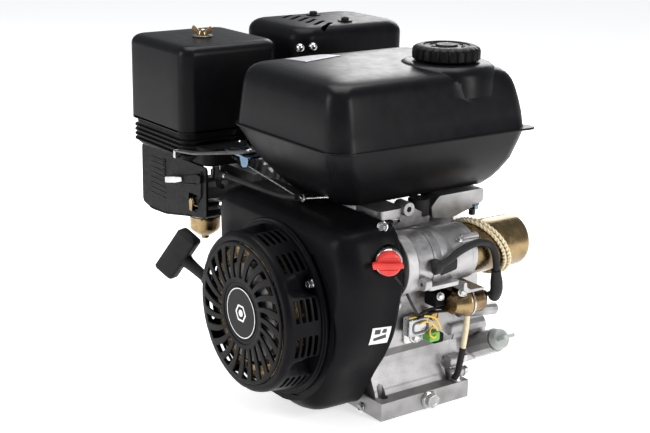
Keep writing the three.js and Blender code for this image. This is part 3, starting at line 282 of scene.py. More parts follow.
def rounded_box_ring(x0, x1, y0, y1, radius, corner_steps=10, side_steps=6):
    """Points round a rectangle with round corners; its straight sides are divided too."""
    ring = []
    centres = [(x1 - radius, y1 - radius), (x0 + radius, y1 - radius),
               (x0 + radius, y0 + radius), (x1 - radius, y0 + radius)]
    for quarter, (cx, cy) in enumerate(centres):
        nx, ny = centres[(quarter + 1) % 4]
        for step in range(corner_steps + 1):
            angle = (quarter + step / corner_steps) * math.pi / 2
            ring.append((cx + radius * math.cos(angle), cy + radius * math.sin(angle)))
        angle = (quarter + 1) * math.pi / 2
        first = ring[-1]
        last = (nx + radius * math.cos(angle), ny + radius * math.sin(angle))
        for step in range(1, side_steps):
            t = step / side_steps
            ring.append((first[0] + (last[0] - first[0]) * t, first[1] + (last[1] - first[1]) * t))
    return ring


def smooth_path(points, per_span=8):
    """A Catmull-Rom curve through the points."""
    points = [Vector(p) for p in points]
    padded = [points[0] * 2 - points[1], *points, points[-1] * 2 - points[-2]]
    made = []
    for i in range(1, len(padded) - 2):
        p0, p1, p2, p3 = padded[i - 1:i + 3]
        for step in range(per_span):
            t = step / per_span
            made.append(0.5 * (2 * p1 + (p2 - p0) * t + (2 * p0 - 5 * p1 + 4 * p2 - p3) * t * t
                               + (3 * p1 - p0 - 3 * p2 + p3) * t ** 3))
    made.append(points[-1])
    return made


# ---- Solids, as lists of points and faces ---------------------------------------------------

class Solid:
    """Points in millimetres and faces; solids add up, and go through a matrix."""

    def __init__(self, points=(), faces=()):
        self.points = [Vector(p) for p in points]
        self.faces = [tuple(f) for f in faces]

    def __add__(self, other):
        shift = len(self.points)
        faces = [tuple(i + shift for i in f) for f in other.faces]
        return Solid(self.points + other.points, self.faces + faces)

    def through(self, matrix):
        flip = matrix.to_3x3().determinant() < 0
        faces = [tuple(reversed(f)) for f in self.faces] if flip else self.faces
        return Solid([matrix @ p for p in self.points], faces)

    def reversed(self):
        return Solid(self.points, [tuple(reversed(f)) for f in self.faces])

    def at(self, x, y, z):
        return self.through(Matrix.Translation((x, y, z)))


AXES = {
    "x": Matrix(((0, 0, 1), (1, 0, 0), (0, 1, 0))).to_4x4(),
    "y": Matrix(((1, 0, 0), (0, 0, -1), (0, 1, 0))).to_4x4(),
    "z": Matrix.Identity(4),
}


def loft(rings, closed=True):
    """A skin over rings of 3-D points; closed ends unless told otherwise."""
    size = len(rings[0])
    points = [p for ring in rings for p in ring]
    faces = []
    for level in range(len(rings) - 1):
        low = level * size
        high = low + size
        for i in range(size):
            j = (i + 1) % size
            faces.append((low + i, low + j, high + j, high + i))
    if closed:
        faces.append(tuple(reversed(range(size))))
        top = (len(rings) - 1) * size
        faces.append(tuple(range(top, top + size)))
    return Solid(points, faces)


def prism(outline, low, high, axis="z"):
    """An outline pulled along an axis: (x, y) along z, (y, z) along x, (x, z) along -y."""
    if axis == "y":
        low, high = -high, -low
    rings = [[(u, v, level) for u, v in outline] for level in (low, high)]
    area = sum(outline[i - 1][0] * p[1] - p[0] * outline[i - 1][1] for i, p in enumerate(outline))
    solid = loft(rings)
    if area < 0:
        solid = solid.reversed()
    return solid.through(AXES[axis])


def turned(profile, steps=64, axis="z"):
    """A solid of revolution: (radius, height) points. It closes at the axis or on itself."""
    on_axis = profile[0][0] == 0
    inner = [p for p in profile if p[0] > 0]
    rings = [[(u, v, h) for u, v in circle(r, steps)] for r, h in inner]
    if on_axis:
        solid = loft(rings)
    else:
        solid = loft([*rings, rings[0]], closed=False)
        size = steps * len(inner)
        solid = Solid(solid.points[:size], [tuple(i % size for i in f) for f in solid.faces])
    turns = {"z": Matrix.Identity(4), "x": Matrix.Rotation(math.pi / 2, 4, "Y"),
             "y": Matrix.Rotation(-math.pi / 2, 4, "X")}
    return solid.through(turns[axis])


def cylinder(radius, low, high, steps, axis="z"):
    return turned([(0, low), (radius, low), (radius, high), (0, high)], steps, axis)


def sweep(path, radii, sides=16):
    """A round bar along a path, with one radius or one for each point."""
    path = [Vector(p) for p in path]
    if not hasattr(radii, "__len__"):
        radii = [radii] * len(path)
    unit = circle(1.0, sides)
    tangent = (path[1] - path[0]).normalized()
    normal = tangent.orthogonal().normalized()
    rings = []
    for i, point in enumerate(path):
        new_tangent = (path[min(i + 1, len(path) - 1)] - path[max(i - 1, 0)]).normalized()
        normal = (tangent.rotation_difference(new_tangent) @ normal).normalized()
        tangent = new_tangent
        side = tangent.cross(normal)
        rings.append([point + (normal * u + side * v) * radii[i] for u, v in unit])
    return loft(rings)


def grid(columns, rows, place, is_hole):
    """A ring-shaped sheet of quads over columns and rows, with holes; the last column joins the first."""
    points = [place(c, r) for r in rows for c in columns]
    width = len(columns)
    faces = []
    for r in range(len(rows) - 1):
        for c in range(width):
            d = (c + 1) % width
            if not is_hole(c, r):
                faces.append((r * width + c, r * width + d, (r + 1) * width + d, (r + 1) * width + c))
    return Solid(points, faces)


def facing(place, out):
    """The matrix that takes +Z to the direction out, at a place."""
    turn = Vector(out).to_track_quat("Z", "Y").to_matrix().to_4x4()
    return Matrix.Translation(place) @ turn


# ---- Pieces ---------------------------------------------------------------------------------

def to_object(name, solid):
    mesh = bpy.data.meshes.new(name)
    mesh.from_pydata([tuple(p * MM) for p in solid.points], [], solid.faces)
    bm = bmesh.new()
    bm.from_mesh(mesh)
    bmesh.ops.remove_doubles(bm, verts=bm.verts, dist=2e-6)
    loose = [v for v in bm.verts if not v.link_faces]
    bmesh.ops.delete(bm, geom=loose, context="VERTS")
    bmesh.ops.recalc_face_normals(bm, faces=bm.faces)
    bm.to_mesh(mesh)
    bm.free()
    obj = bpy.data.objects.new(name, mesh)
    scene.collection.objects.link(obj)
    return obj


def settle(obj):
    """Applies the object's modifiers."""
    bpy.context.view_layer.update()
    evaluated = obj.evaluated_get(bpy.context.evaluated_depsgraph_get())
    mesh = bpy.data.meshes.new_from_object(evaluated)
    old = obj.data
    obj.modifiers.clear()
    obj.data = mesh
    bpy.data.meshes.remove(old)


def carve(obj, tool, operation="DIFFERENCE"):
    """Cuts the tool's solid out of the object, or joins it on."""
    cutter = to_object(obj.name + "_tool", tool)
    modifier = obj.modifiers.new("carve", "BOOLEAN")
    modifier.operation = operation
    modifier.solver = "EXACT"
    modifier.object = cutter
    settle(obj)
    mesh = cutter.data
    bpy.data.objects.remove(cutter)
    bpy.data.meshes.remove(mesh)


def add_bevel(obj, width, segments=2, angle=35.0):
    modifier = obj.modifiers.new("edges", "BEVEL")
    modifier.width = width * MM
    modifier.segments = segments
    modifier.limit_method = "ANGLE"
    modifier.angle_limit = math.radians(angle)
    modifier.harden_normals = True
    modifier.miter_outer = "MITER_ARC"


def piece(name, solid, slot, body="engine", stands_for=(), bevel=0.0, segments=2, angle=35.0, cuts=(),
          joins=(), thickness=0.0, subdivide=0, finish=None):
    obj = to_object(name, solid)
    for extra in joins:
        carve(obj, extra, "UNION")
    for tool in cuts:
        carve(obj, tool)
    if thickness:
        modifier = obj.modifiers.new("sheet", "SOLIDIFY")
        modifier.thickness = abs(thickness) * MM
        modifier.offset = math.copysign(1.0, thickness)
    if subdivide:
        modifier = obj.modifiers.new("smooth", "SUBSURF")
        modifier.levels = modifier.render_levels = subdivide
    obj.data.shade_smooth()
    if bevel:
        add_bevel(obj, bevel, segments, angle)
    elif not subdivide:
        obj.data.set_sharp_from_angle(angle=math.radians(angle))
    obj.data.materials.clear()
    obj.data.materials.append(MATERIALS[finish or slot])
    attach(obj, body)
    if stands_for:
        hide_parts(*stands_for)
        replaced.update(stands_for)
    return obj


WASHER_THICK = 1.4
FLANGE_THICK = 1.6
BOLT_TURN = 0.3  # radians about its own axis, so that no head lines up with the frame


def bolt(name, place, out, across, height, slot="bright_zinc", body="engine", flange=0.0, washer=0.0):
    """A hexagon head with a chamfered, dished top, on its flange and washer."""
    corner = across / 2 / math.cos(math.pi / 6)
    base = 0.0
    solid = Solid()
    if washer:
        solid += turned([(0, 0), (washer, 0), (washer + 0.2, 0.3), (washer + 0.2, 1.1),
                         (washer, WASHER_THICK), (0, WASHER_THICK)], 32)
        base = WASHER_THICK
    if flange:
        solid += turned([(0, base), (flange, base), (flange, base + FLANGE_THICK * 0.5),
                         (flange * 0.86, base + FLANGE_THICK), (0, base + FLANGE_THICK)], 32)
        base += FLANGE_THICK * 0.9
    top = base + height
    levels = [(corner, base), (corner, top - 0.9), (corner * 0.93, top), (corner * 0.7, top),
              (corner * 0.62, top - 0.7), (corner * 0.2, top - 0.8)]
    solid += loft([[(u, v, z) for u, v in circle(r, 6)] for r, z in levels])
    matrix = facing(place, out) @ Matrix.Rotation(BOLT_TURN, 4, "Z")
    return piece(name, solid.through(matrix), slot, body, bevel=0.25, angle=25.0)


def bar(name, path, radius, sides=12, slot="black_plastic", body="engine", **look):
    """A round bar, bead or wire along a path."""
    return piece(name, sweep(path, radius, sides), slot, body, **look)


# ---- Fuel tank --------------------------------------------------------------------------------

CAP_X, CAP_Y = 45.0, 55.0
TANK_WALL = 2.5
SEAM_LOW, SEAM_HIGH = 328.4, 331.8
TANK_SECTIONS = [  # z, x0, x1, y0, y1, corner radius
    (253.0, -48, 46, -82, 98, 18), (253.8, -54, 52, -88, 106, 20), (257.0, -62, 62, -97, 120, 22),
    (265.0, -69.5, 70.5, -106, 127, 23), (275.0, -77, 79, -115, 132, 24), (292.0, -89, 92, -128, 136, 25),
    (312.0, -101, 101.5, -138.5, 138, 26), (326.0, -108, 107.5, -145.5, 139, 26),
    (328.6, -109.2, 108.7, -146.8, 140, 27)]
SHELL_SECTIONS = [
    (331.4, -109, 108.5, -146.8, 140, 27), (333.0, -108, 107.5, -146.6, 139, 26),
    (350.0, -103, 106.3, -147, 136, 25), (366.0, -99.6, 104.7, -146.4, 131, 24),
    (380.0, -96.8, 102.5, -145.5, 126, 23), (388.0, -95.2, 100.5, -144, 122, 22),
    (393.5, -93.6, 98.2, -142, 118.6, 22), (397.5, -91.7, 95.2, -139.4, 115, 21),
    (400.8, -89, 91, -135.6, 110.6, 21), (403.0, -85.4, 85.6, -130.6, 105.6, 20),
    (404.6, -79, 77.5, -124, 99, 20), (405.6, -70, 68, -114, 90, 19),
    (406.2, -60, 57, -103, 79, 18), (406.5, -46, 43, -88, 64, 16)]


def tank_ring(section, inset=0.0):
    z, x0, x1, y0, y1, radius = section
    ring = rounded_box_ring(x0 + inset, x1 - inset, y0 + inset, y1 - inset, max(radius - inset, 2.0), 12, 8)
    return [(x, y, z) for x, y in ring]


def tank():
    pan = loft([tank_ring(s) for s in TANK_SECTIONS])
    shell = loft([tank_ring(s) for s in SHELL_SECTIONS])
    collar = turned([(0, 375), (62, 375), (61, 385), (60, 393), (58.6, 399), (56, 403.4), (52.4, 406.6),
                     (48, 408.4), (43, 409), (27, 409), (25, 409.6), (25, 411.4), (24.4, 412), (0, 412)],
                    96)
    neck = cylinder(22, 370, 420, 64).at(CAP_X, CAP_Y, 0)
    inner = loft([tank_ring((z - TANK_WALL, *sides), TANK_WALL) for z, *sides in SHELL_SECTIONS])
    piece("tank_shell", shell, "gloss_black", stands_for=["fuel_tank"], joins=[collar.at(CAP_X, CAP_Y, 0)],
          cuts=[inner, neck], angle=32.0)
    low_inner = loft([tank_ring((z + TANK_WALL, *sides), TANK_WALL) for z, *sides in TANK_SECTIONS])
    piece("tank_pan", pan, "gloss_black", cuts=[low_inner], angle=32.0)
    # the rolled seam between the two pressings, with a tab at one corner
    outer = [(x, y) for x, y, _ in tank_ring((330, -111, 110, -149, 142, 28))]
    hole = [(x, y) for x, y, _ in tank_ring((330, -104, 103, -142, 135, 22))]
    levels = [(hole, SEAM_LOW, 1.0), (outer, SEAM_LOW, 0.995), (outer, 329.2, 1.0), (outer, 331.0, 1.0),
              (outer, SEAM_HIGH, 0.995), (hole, SEAM_HIGH, 1.0)]
    rings = [[(x * scale, y * scale, z) for x, y in outline] for outline, z, scale in levels]
    seam = loft([*rings, rings[0]], closed=False)
    piece("tank_seam", seam, "gloss_black", angle=50.0)
    tab = prism(soften([(84, 124), (100, 100), (110, 118), (112, 140), (104, 146), (88, 140)], 8), 328.8,
                331.6)
    piece("tank_seam_tab", tab, "gloss_black", bevel=0.7)
    plate = drape([(-70, -96), (-82, -36), (-52, -26), (-36, -88)], bpy.data.objects["tank_shell"])
    piece("tank_foil_plate", plate, "bright_zinc", finish="silver_foil", thickness=0.3)


def drape(corners, target, axis="z", lift=0.35):
    """A small sheet with these corners, laid onto an object from above or from +X."""
    steps = 14
    bpy.context.view_layer.update()
    tree = BVHTree.FromObject(target, bpy.context.evaluated_depsgraph_get())
    a, b, c, d = (Vector((u, v)) for u, v in corners)
    far = 600.0
    points = []
    for i in range(steps + 1):
        for k in range(steps + 1):
            u, v = a.lerp(b, i / steps).lerp(d.lerp(c, i / steps), k / steps)
            if axis == "z":
                hit = tree.ray_cast(Vector((u, v, far)) * MM, Vector((0, 0, -1)))[0]
                points.append(Vector((u, v, hit.z / MM + lift)))
            else:
                hit = tree.ray_cast(Vector((far, u, v)) * MM, Vector((-1, 0, 0)))[0]
                points.append(Vector((hit.x / MM + lift, u, v)))
    width = steps + 1
    faces = [(i * width + k, (i + 1) * width + k, (i + 1) * width + k + 1, i * width + k + 1)
             for i in range(steps) for k in range(steps)]
    return Solid(points, faces)


def fuel_cap():
    ribs, steps = 24, 240
    profile = [(36.5, 411.0, 0.0), (39.0, 411.3, 0.6), (40.0, 412.4, 1.5), (40.0, 421.5, 1.7),
               (38.8, 424.2, 1.6), (36.5, 425.6, 0.9), (34.0, 426.6, 0.2), (31.5, 427.2, 0.0),
               (28.5, 427.5, 0.0), (27.5, 427.2, 0.0), (26.8, 426.0, 0.0), (13.5, 426.0, 0.0),
               (12.8, 427.2, 0.0), (12.0, 427.9, 0.0), (5.0, 428.0, 0.0)]
    rings = []
    for radius, z, groove in profile:
        ring = []
        for i in range(steps):
            phase = (i * ribs / steps) % 1.0
            dip = max(0.0, 1.0 - abs(phase - 0.5) / 0.14)
            wave = 0.25 * math.cos(2 * math.pi * phase)
            reach = radius - groove * (math.sqrt(dip) - wave * 0.4) if groove else radius
            reach = min(reach, 40.0)
            angle = 2 * math.pi * i / steps
            ring.append((CAP_X + reach * math.cos(angle), CAP_Y + reach * math.sin(angle), z))
        rings.append(ring)
    under_profile = ((18, 404.0), (18, 413.9), (26, 413.9), (26, 416.0), (34.5, 416.0))
    under = [[(CAP_X + u, CAP_Y + v, z) for u, v in circle(r, steps)] for r, z in under_profile]
    piece("fuel_cap_body", loft([*under, *rings]), "black_plastic", "fuel_cap", stands_for=["fuel_cap"],
          angle=38.0)
    for i in range(3):
        start = math.radians(20 + 120 * i)
        arc = [(20.0 * math.cos(start + a * 0.1), 20.0 * math.sin(start + a * 0.1)) for a in range(13)]
        path = [(CAP_X + u, CAP_Y + v, 426.2) for u, v in arc]
        bar(f"fuel_cap_arc_{i + 1}", path, 1.1, 8, body="fuel_cap")


# ---- Air cleaner, carburettor cover and handle side --------------------------------------------

CLEANER = {"x0": -333.0, "x1": -185.0, "y0": -164.0, "y1": -22.0}
CLEANER_TOP = 409.0
STUD_X, STUD_Y = -250.0, -99.0


def box_rings(x0, x1, y0, y1, levels, radius, corner_steps=12, side_steps=6):
    rings = []
    for z, inset in levels:
        ring = rounded_box_ring(x0 + inset, x1 - inset, y0 + inset, y1 - inset,
                                max(radius - inset * 0.5, 3.0), corner_steps, side_steps)
        rings.append([(x, y, z) for x, y in ring])
    return rings


def rounded_levels(z0, z1, reach):
    """Straight walls and a quarter-round shoulder at the top."""
    steps = 7
    levels = [(z0, 0.0), (z0 + 1.0, 0.0), (z0 + (z1 - z0) * 0.5, 0.0)]
    for i in range(steps + 1):
        angle = math.pi / 2 * i / steps
        levels.append((z1 - reach + reach * math.sin(angle), reach * (1 - math.cos(angle))))
    return levels


def air_cleaner():
    levels = [*rounded_levels(299, CLEANER_TOP - 0.8, 12.0), (CLEANER_TOP - 0.3, 22), (CLEANER_TOP, 44)]
    outer = loft(box_rings(**CLEANER, levels=levels, radius=18))
    inner_levels = [(298.0, 2.5), *[(z - 2.5, inset + 2.5) for z, inset in levels[1:-1]]]
    inner = loft(box_rings(**CLEANER, levels=inner_levels, radius=18))
    hole = cylinder(3.6, 380, 420, 32).at(STUD_X, STUD_Y, 0)
    piece("cleaner_cover", outer, "gloss_black", "air_cleaner_cover", stands_for=["air_cleaner_cover"],
          cuts=[inner, hole], angle=38.0)
    lip_levels = [(299.2, 2.4), (299.2, 0.6), (300.2, 0.0), (302.6, 0.0), (303.4, 0.6)]
    lip = box_rings(**CLEANER, levels=lip_levels, radius=18)
    piece("cleaner_cover_hem", loft([*lip, lip[0]], closed=False), "gloss_black", "air_cleaner_cover",
          angle=60.0)


def wing_nut():
    z = CLEANER_TOP
    washer = turned([(3.4, z + 0.3), (12.4, z + 0.3), (13, z + 0.8), (13, z + 1.6), (12.4, z + 2),
                     (3.4, z + 2)], 48)
    piece("wing_nut_washer", washer.at(STUD_X, STUD_Y, 0), "dark_steel", "wing_nut")
    hub = turned([(3.4, z + 2), (6.6, z + 2), (6.8, z + 3), (5.4, z + 8), (4.9, z + 8.6), (3.4, z + 8.6)],
                 32)
    piece("wing_nut_hub", hub.at(STUD_X, STUD_Y, 0), "gold_zinc", "wing_nut", stands_for=["wing_nut"],
          angle=40.0)
    wing_turn = 0.7
    for i, side in enumerate((1, -1)):
        outline = [(4.2, 2.4), (9.0, 3.2), (13.4, 8.0), (14.0, 12.0), (11.6, 14.0), (8.6, 12.8), (4.6, 7.4)]
        wing = prism(soften([(side * u, z + v) for u, v in outline], 3, 4), -1.7, 1.7, "y")
        turn = Matrix.Translation((STUD_X, STUD_Y, 0)) @ Matrix.Rotation(wing_turn, 4, "Z")
        piece(f"wing_nut_wing_{i + 1}", wing.through(turn), "gold_zinc", "wing_nut", bevel=0.7, segments=3)


def cleaner_base():
    x0, x1, y0 = CLEANER["x0"], CLEANER["x1"], CLEANER["y0"]
    levels = [(262.0, 12.0), (263.5, 9.0), (268.0, 4.6)]
    for z in (270.0, 276.0, 282.0, 288.0):
        levels += [(z, 4.6), (z + 0.3, 1.4), (z + 1.2, 1.0), (z + 2.1, 1.4), (z + 2.4, 4.6)]
    levels += [(297.2, 4.2), (298.7, 4.8)]
    tray = loft(box_rings(x0, x1, y0, -72.0, levels, 21, 10, 4))
    bowl = loft(box_rings(x0 + 12, x1 - 12, y0 + 12, -84.0, [(278.0, 4.0), (280.0, 0.0), (300.0, 0.0)],
                          16, 8, 4))
    piece("cleaner_base_tray", tray, "black_plastic", stands_for=["air_cleaner_base"], cuts=[bowl],
          angle=38.0)
    shelf_levels = [(282.0, 6.0), (283.0, 4.4), (298.0, 4.2), (298.7, 4.8)]
    shelf = loft(box_rings(x0, x1, -90.0, CLEANER["y1"], shelf_levels, 16, 10, 4))
    hollow = loft(box_rings(x0 + 12, x1 - 12, -100.0, CLEANER["y1"] - 14, [(286.0, 2.0), (300.0, 0.0)],
                            10, 8, 4))
    piece("cleaner_base_shelf", shelf, "black_plastic", cuts=[hollow], angle=38.0)
    duct = prism(soften(rectangle(-246, -204, -146, -124), 5), 236.0, 264.0)
    elbow = prism(soften(rectangle(-246, -204, -146, -130), 5), 196.0, 237.0)
    bore = cylinder(14, -150, -120, 48, "y").at(-225.0, 0, 214.0)
    piece("cleaner_base_duct", duct, "black_plastic", bevel=1.0)
    piece("cleaner_base_elbow", elbow, "black_plastic", cuts=[bore], bevel=1.0)
    stud_profile = [(0, 264), (3.0, 264), (3.0, 405)]
    z = 405.0
    while z < 418.0:
        stud_profile += [(3.0, z), (2.6, z + 0.4)]
        z += 0.8
    stud = turned([*stud_profile, (2.2, 418.6), (0, 419.0)], 24)
    piece("cleaner_stud", stud.at(STUD_X, STUD_Y, 0), "bright_zinc", angle=60.0)


BOWL_X, BOWL_Y = -225.0, -112.0


def carburettor_cover():
    x0, x1, y0, y1, z0, z1 = -325.0, -160.0, -149.0, -84.0, 177.0, 261.5
    low = [(x0, z0 + 5), (x0 + 25, z0), (-262, 179), (-205, 190), (x1, 197)]
    outer = prism(soften([*low, (x1, z1), (x0, z1)], 6, 6), y0, y1, "y")
    raised = [(max(x, x0 + 3), z + 3) for x, z in low]
    inner = prism(soften([*raised, (x1 + 9, 200), (x1 + 9, z1 + 9), (x0 + 3, z1 + 9)], 4), y0 + 3, y1 + 9,
                  "y")
    bowl = cylinder(23, z0 - 4, z0 + 24, 48).at(BOWL_X, BOWL_Y, 0)
    window = prism(soften(rectangle(-203, -181, 200, 222), 4), y0 - 5, y0 + 10, "y")
    slot = prism(soften(rectangle(-180, -168, 239, 251), 3), y0 - 5, y0 + 10, "y")
    piece("carburettor_shroud", outer, "black_plastic", stands_for=["carburettor_cover"],
          cuts=[inner, bowl, window, slot], bevel=1.8, segments=4, angle=38.0)
    bar("shroud_lower_lip", [(x, y0 + 0.4, z + 0.6) for x, z in soften(low, 6, 4)[5:-5]], 1.3)
    for i in range(8):
        z = 200.0 + 7.0 * i
        bar(f"shroud_rib_{i + 1}", [(-300, y0 + 0.2, z), (-262, y0 + 0.2, z)], 0.8, 10)
    for i, z in enumerate((205.0, 214.0)):
        link = [(-200, y0 + 5, z), (-184, y0 + 5, z + 1.5)]
        bar(f"carburettor_link_{i + 1}", link, 1.7, slot=("gold_zinc", "bright_zinc")[i])
    skirt = loft(box_rings(-321.0, -160.0, -147.0, -92.0, [(262.0, 1.0), (263.0, 0.0), (284.0, 0.0)], 14,
                           8, 4))
    piece("cleaner_base_skirt", skirt, "black_plastic", angle=38.0)
    for i in range(9):
        z = 251.0 - 3.4 * i
        bar(f"shroud_knuckle_{i + 1}", [(-268, y0 + 0.6, z), (-261, y0 + 0.6, z)], 1.5)
    bar("shroud_ledge", [(-262, y0 + 0.3, 221), (-206, y0 + 0.3, 232), (-184, y0 + 0.3, 236)], 1.2)
    bar("shroud_side_pin", [(-324.6, y0 + 22, 214), (-330.5, y0 + 22, 214)], 2.0, 16, "bright_zinc")
    bar("shroud_corner_bead", [(-180, -149.2, 214), (-171, -149.2, 224), (-171, -149.2, 255)], 1.6)


def choke_and_fuel_levers():
    outline = soften([(-180, 240), (-168, 240), (-166, 250), (-177, 251), (-250, 231), (-250, 224)], 4)
    blade = prism(outline, -153.4, -151.2, "y")
    piece("choke_lever_arm", blade, "black_plastic", "choke_lever", stands_for=["choke_lever"], bevel=0.5)
    tip_outline = [(-252, 224.0), (-228, 229.0), (-209, 235.0), (-210, 241.0), (-230, 237.5), (-252, 232.5)]
    tip = prism(soften(tip_outline, 2, 5), -156.0, -149.8, "y")
    piece("choke_lever_tip", tip, "bright_zinc", "choke_lever", bevel=1.6, segments=4)
    shaft = turned([(0, -153.2), (3.4, -153.2), (4.0, -152.6), (4.0, -146.6), (0, -146.6)], 32, "y")
    piece("choke_lever_shaft", shaft.at(-174, 0, 245), "bright_zinc", "choke_lever", bevel=0.3)
    fuel = prism(soften([(-195, 200.5), (-189, 200.5), (-187.5, 213), (-192, 217), (-196.5, 213)], 2),
                 -153.0, -150.6, "y")
    piece("fuel_lever_blade", fuel, "gold_zinc", "fuel_valve", stands_for=["fuel_valve_lever"], bevel=0.5)
    hub = turned([(0, -152), (4.6, -152), (5, -151.4), (5, -146.6), (0, -146.6)], 32, "y")
    piece("fuel_lever_hub", hub.at(-192, 0, 212), "gold_zinc", "fuel_valve", bevel=0.3)


def float_bowl():
    profile = [(0, 150.0), (4.6, 150.0), (5.2, 150.6), (5.2, 154.4), (8.2, 154.6), (9.4, 155.2),
               (13.5, 158.0), (17.5, 161.4), (19.2, 163.6), (19.8, 166.0), (19.8, 176.4), (20.0, 176.8),
               (20.0, 180.2), (19.6, 180.7), (0, 180.7)]
    piece("bowl_cup", turned(profile, 72).at(BOWL_X, BOWL_Y, 0), "gold_zinc", stands_for=["float_bowl"],
          angle=30.0)


def squared(value):
    """Pushes a cosine or sine towards 1 or -1, which makes a rounded square of a circle."""
    return math.copysign(abs(value) ** 0.36, value)


HANDLE = Vector((-160.0, -190.0, 159.0))
PULL = Vector((-0.74, -0.4, 0.54)).normalized()
ALONG = Vector((0.4235, 0.3465, 0.837)).normalized()
REACH = 54.0  # from the middle of the grip back to the mouth of the rope guide
STEM_REACH = 50.0


def recoil_handle():
    across = PULL.cross(ALONG)
    axes = Matrix((ALONG, across, PULL)).transposed().to_4x4()
    place = Matrix.Translation(HANDLE) @ axes
    rings = []
    steps = 32
    for i in range(steps + 1):
        t = i / steps
        u = -32.0 + 64.0 * t
        end = min(t, 1.0 - t)
        taper = math.sqrt(max(0.0, 1.0 - (1.0 - min(end / 0.06, 1.0)) ** 2)) * 0.82 + 0.18
        half_width = (11.0 - 0.7 * math.sin(math.pi * t)) * taper
        half_depth = 14.5 * taper
        rings.append([(u, half_width * squared(c), half_depth * squared(s)) for c, s in circle(1.0, 28)])
    piece("handle_grip", loft(rings).through(place), "black_rubber", "recoil_handle",
          stands_for=["recoil_handle"], angle=50.0)
    collar = [(8.6, -10.0), (8.8, -16.0), (7.6, -19.0), (7.0, -26.0), (6.4, -40.0), (6.2, -45.0),
              (7.6, -46.4), (8.0, -50.0), (7.4, -52.0), (5.8, -53.6), (2.4, -53.8)]
    stem = turned([(0, -4.0), *collar, (2.0, -50.0), (0, -50.0)], 40)
    piece("handle_stem", stem.through(place), "black_rubber", "recoil_handle", angle=45.0)
    for label, w in (("a", 8.5), ("b", -8.5)):
        line = sweep([(-21, 10.4, w), (21, 10.4, w)], 0.6, 8)
        piece(f"handle_rib_{label}", line.through(place), "black_rubber", "recoil_handle")
    rope_start = HANDLE - PULL * STEM_REACH
    rope_end = HANDLE - PULL * (REACH + 20.0)
    rope = sweep([rope_start.lerp(rope_end, i / 12) for i in range(13)], 1.9, 12)
    cord = to_object("starter_rope", rope)
    cord.data.shade_smooth()
    cord.data.materials.append(MATERIALS["cream_sleeve"])
    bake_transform(cord)


# ---- Muffler -------------------------------------------------------------------------------------

def muffler_guard():
    x0, x1, y0, y1, top = -306.0, -171.0, -5.0, 174.0, 422.0
    levels = [*rounded_levels(312, top - 0.8, 16.0), (top - 0.2, 26), (top, 46)]
    outer = loft(box_rings(x0, x1, y0, y1, levels, 26))
    inner_levels = [(311.0, 1.6), *[(z - 1.6, inset + 1.6) for z, inset in levels[1:-1]]]
    inner = loft(box_rings(x0, x1, y0, y1, inner_levels, 26))
    slots = []
    for i in range(6):
        outline = soften(rectangle(-20, 20, -3.0, 3.0), 2.9)
        turn = Matrix.Translation((-278.0 + 18.0 * i, 52.0, 0)) @ Matrix.Rotation(2.22, 4, "Z")
        slots.append(prism(outline, top - 20, top + 10).through(turn))
    outlet = cylinder(16, 150, 185, 40, "y").at(-243.0, 0, 360.0)
    piece("muffler_shield", outer, "black_paint", stands_for=["muffler_guard"],
          cuts=[inner, *slots, outlet], angle=38.0)
    for i, (x, y) in enumerate(((-270.0, 88.0), (-201.5, 91.0))):
        bolt(f"muffler_shield_bolt_{i + 1}", (x, y, top), (0, 0, 1), 10.0, 3.6, "black_paint", washer=9.5)
    for i, y in enumerate((-3.0, 17.0)):
        dome = turned([(0, 0), (5.5, 0), (5.5, 2.4), (4.6, 5.0), (2.6, 6.6), (0, 7.0)], 32)
        piece(f"muffler_nut_{i + 1}", dome.through(facing((-171.5, y, 398.0), (1, 0, 0))), "bright_zinc",
              angle=40.0)


# ---- Blower housing and recoil starter -------------------------------------------------------------

HOUSING_OUTLINE = [(120, 248), (134, 222), (139, 192), (134, 158), (127, 122), (112, 91), (95, 67),
                   (82, 44), (64, 14), (30, 6), (-30, 10), (-92, 40), (-140, 96), (-142, 236),
                   (-128, 248)]
HOUSING_CENTRE = (0.0, 134.0)
SWITCH_OUT = Vector((0.86, -0.5103, 0.0))
SWITCH_ALONG = Vector((0.5103, 0.86, 0.0))
SWITCH_PLACE = Matrix.Translation((137.5, -97.0, 214.0)) @ Matrix(
    (SWITCH_ALONG, Vector((0, 0, 1)), SWITCH_OUT)).transposed().to_4x4()


def housing_ring(y, inset=0.0, radius=None):
    ring = []
    for x, z in soften(HOUSING_OUTLINE, 14, 8):
        dx, dz = x - HOUSING_CENTRE[0], z - HOUSING_CENTRE[1]
        reach = math.hypot(dx, dz)
        if radius is None:
            scale = (reach - inset) / reach
            ring.append((HOUSING_CENTRE[0] + dx * scale, y, HOUSING_CENTRE[1] + dz * scale))
        else:
            ring.append((radius * dx / reach, y, CRANK_Z + radius * dz / reach))
    return ring


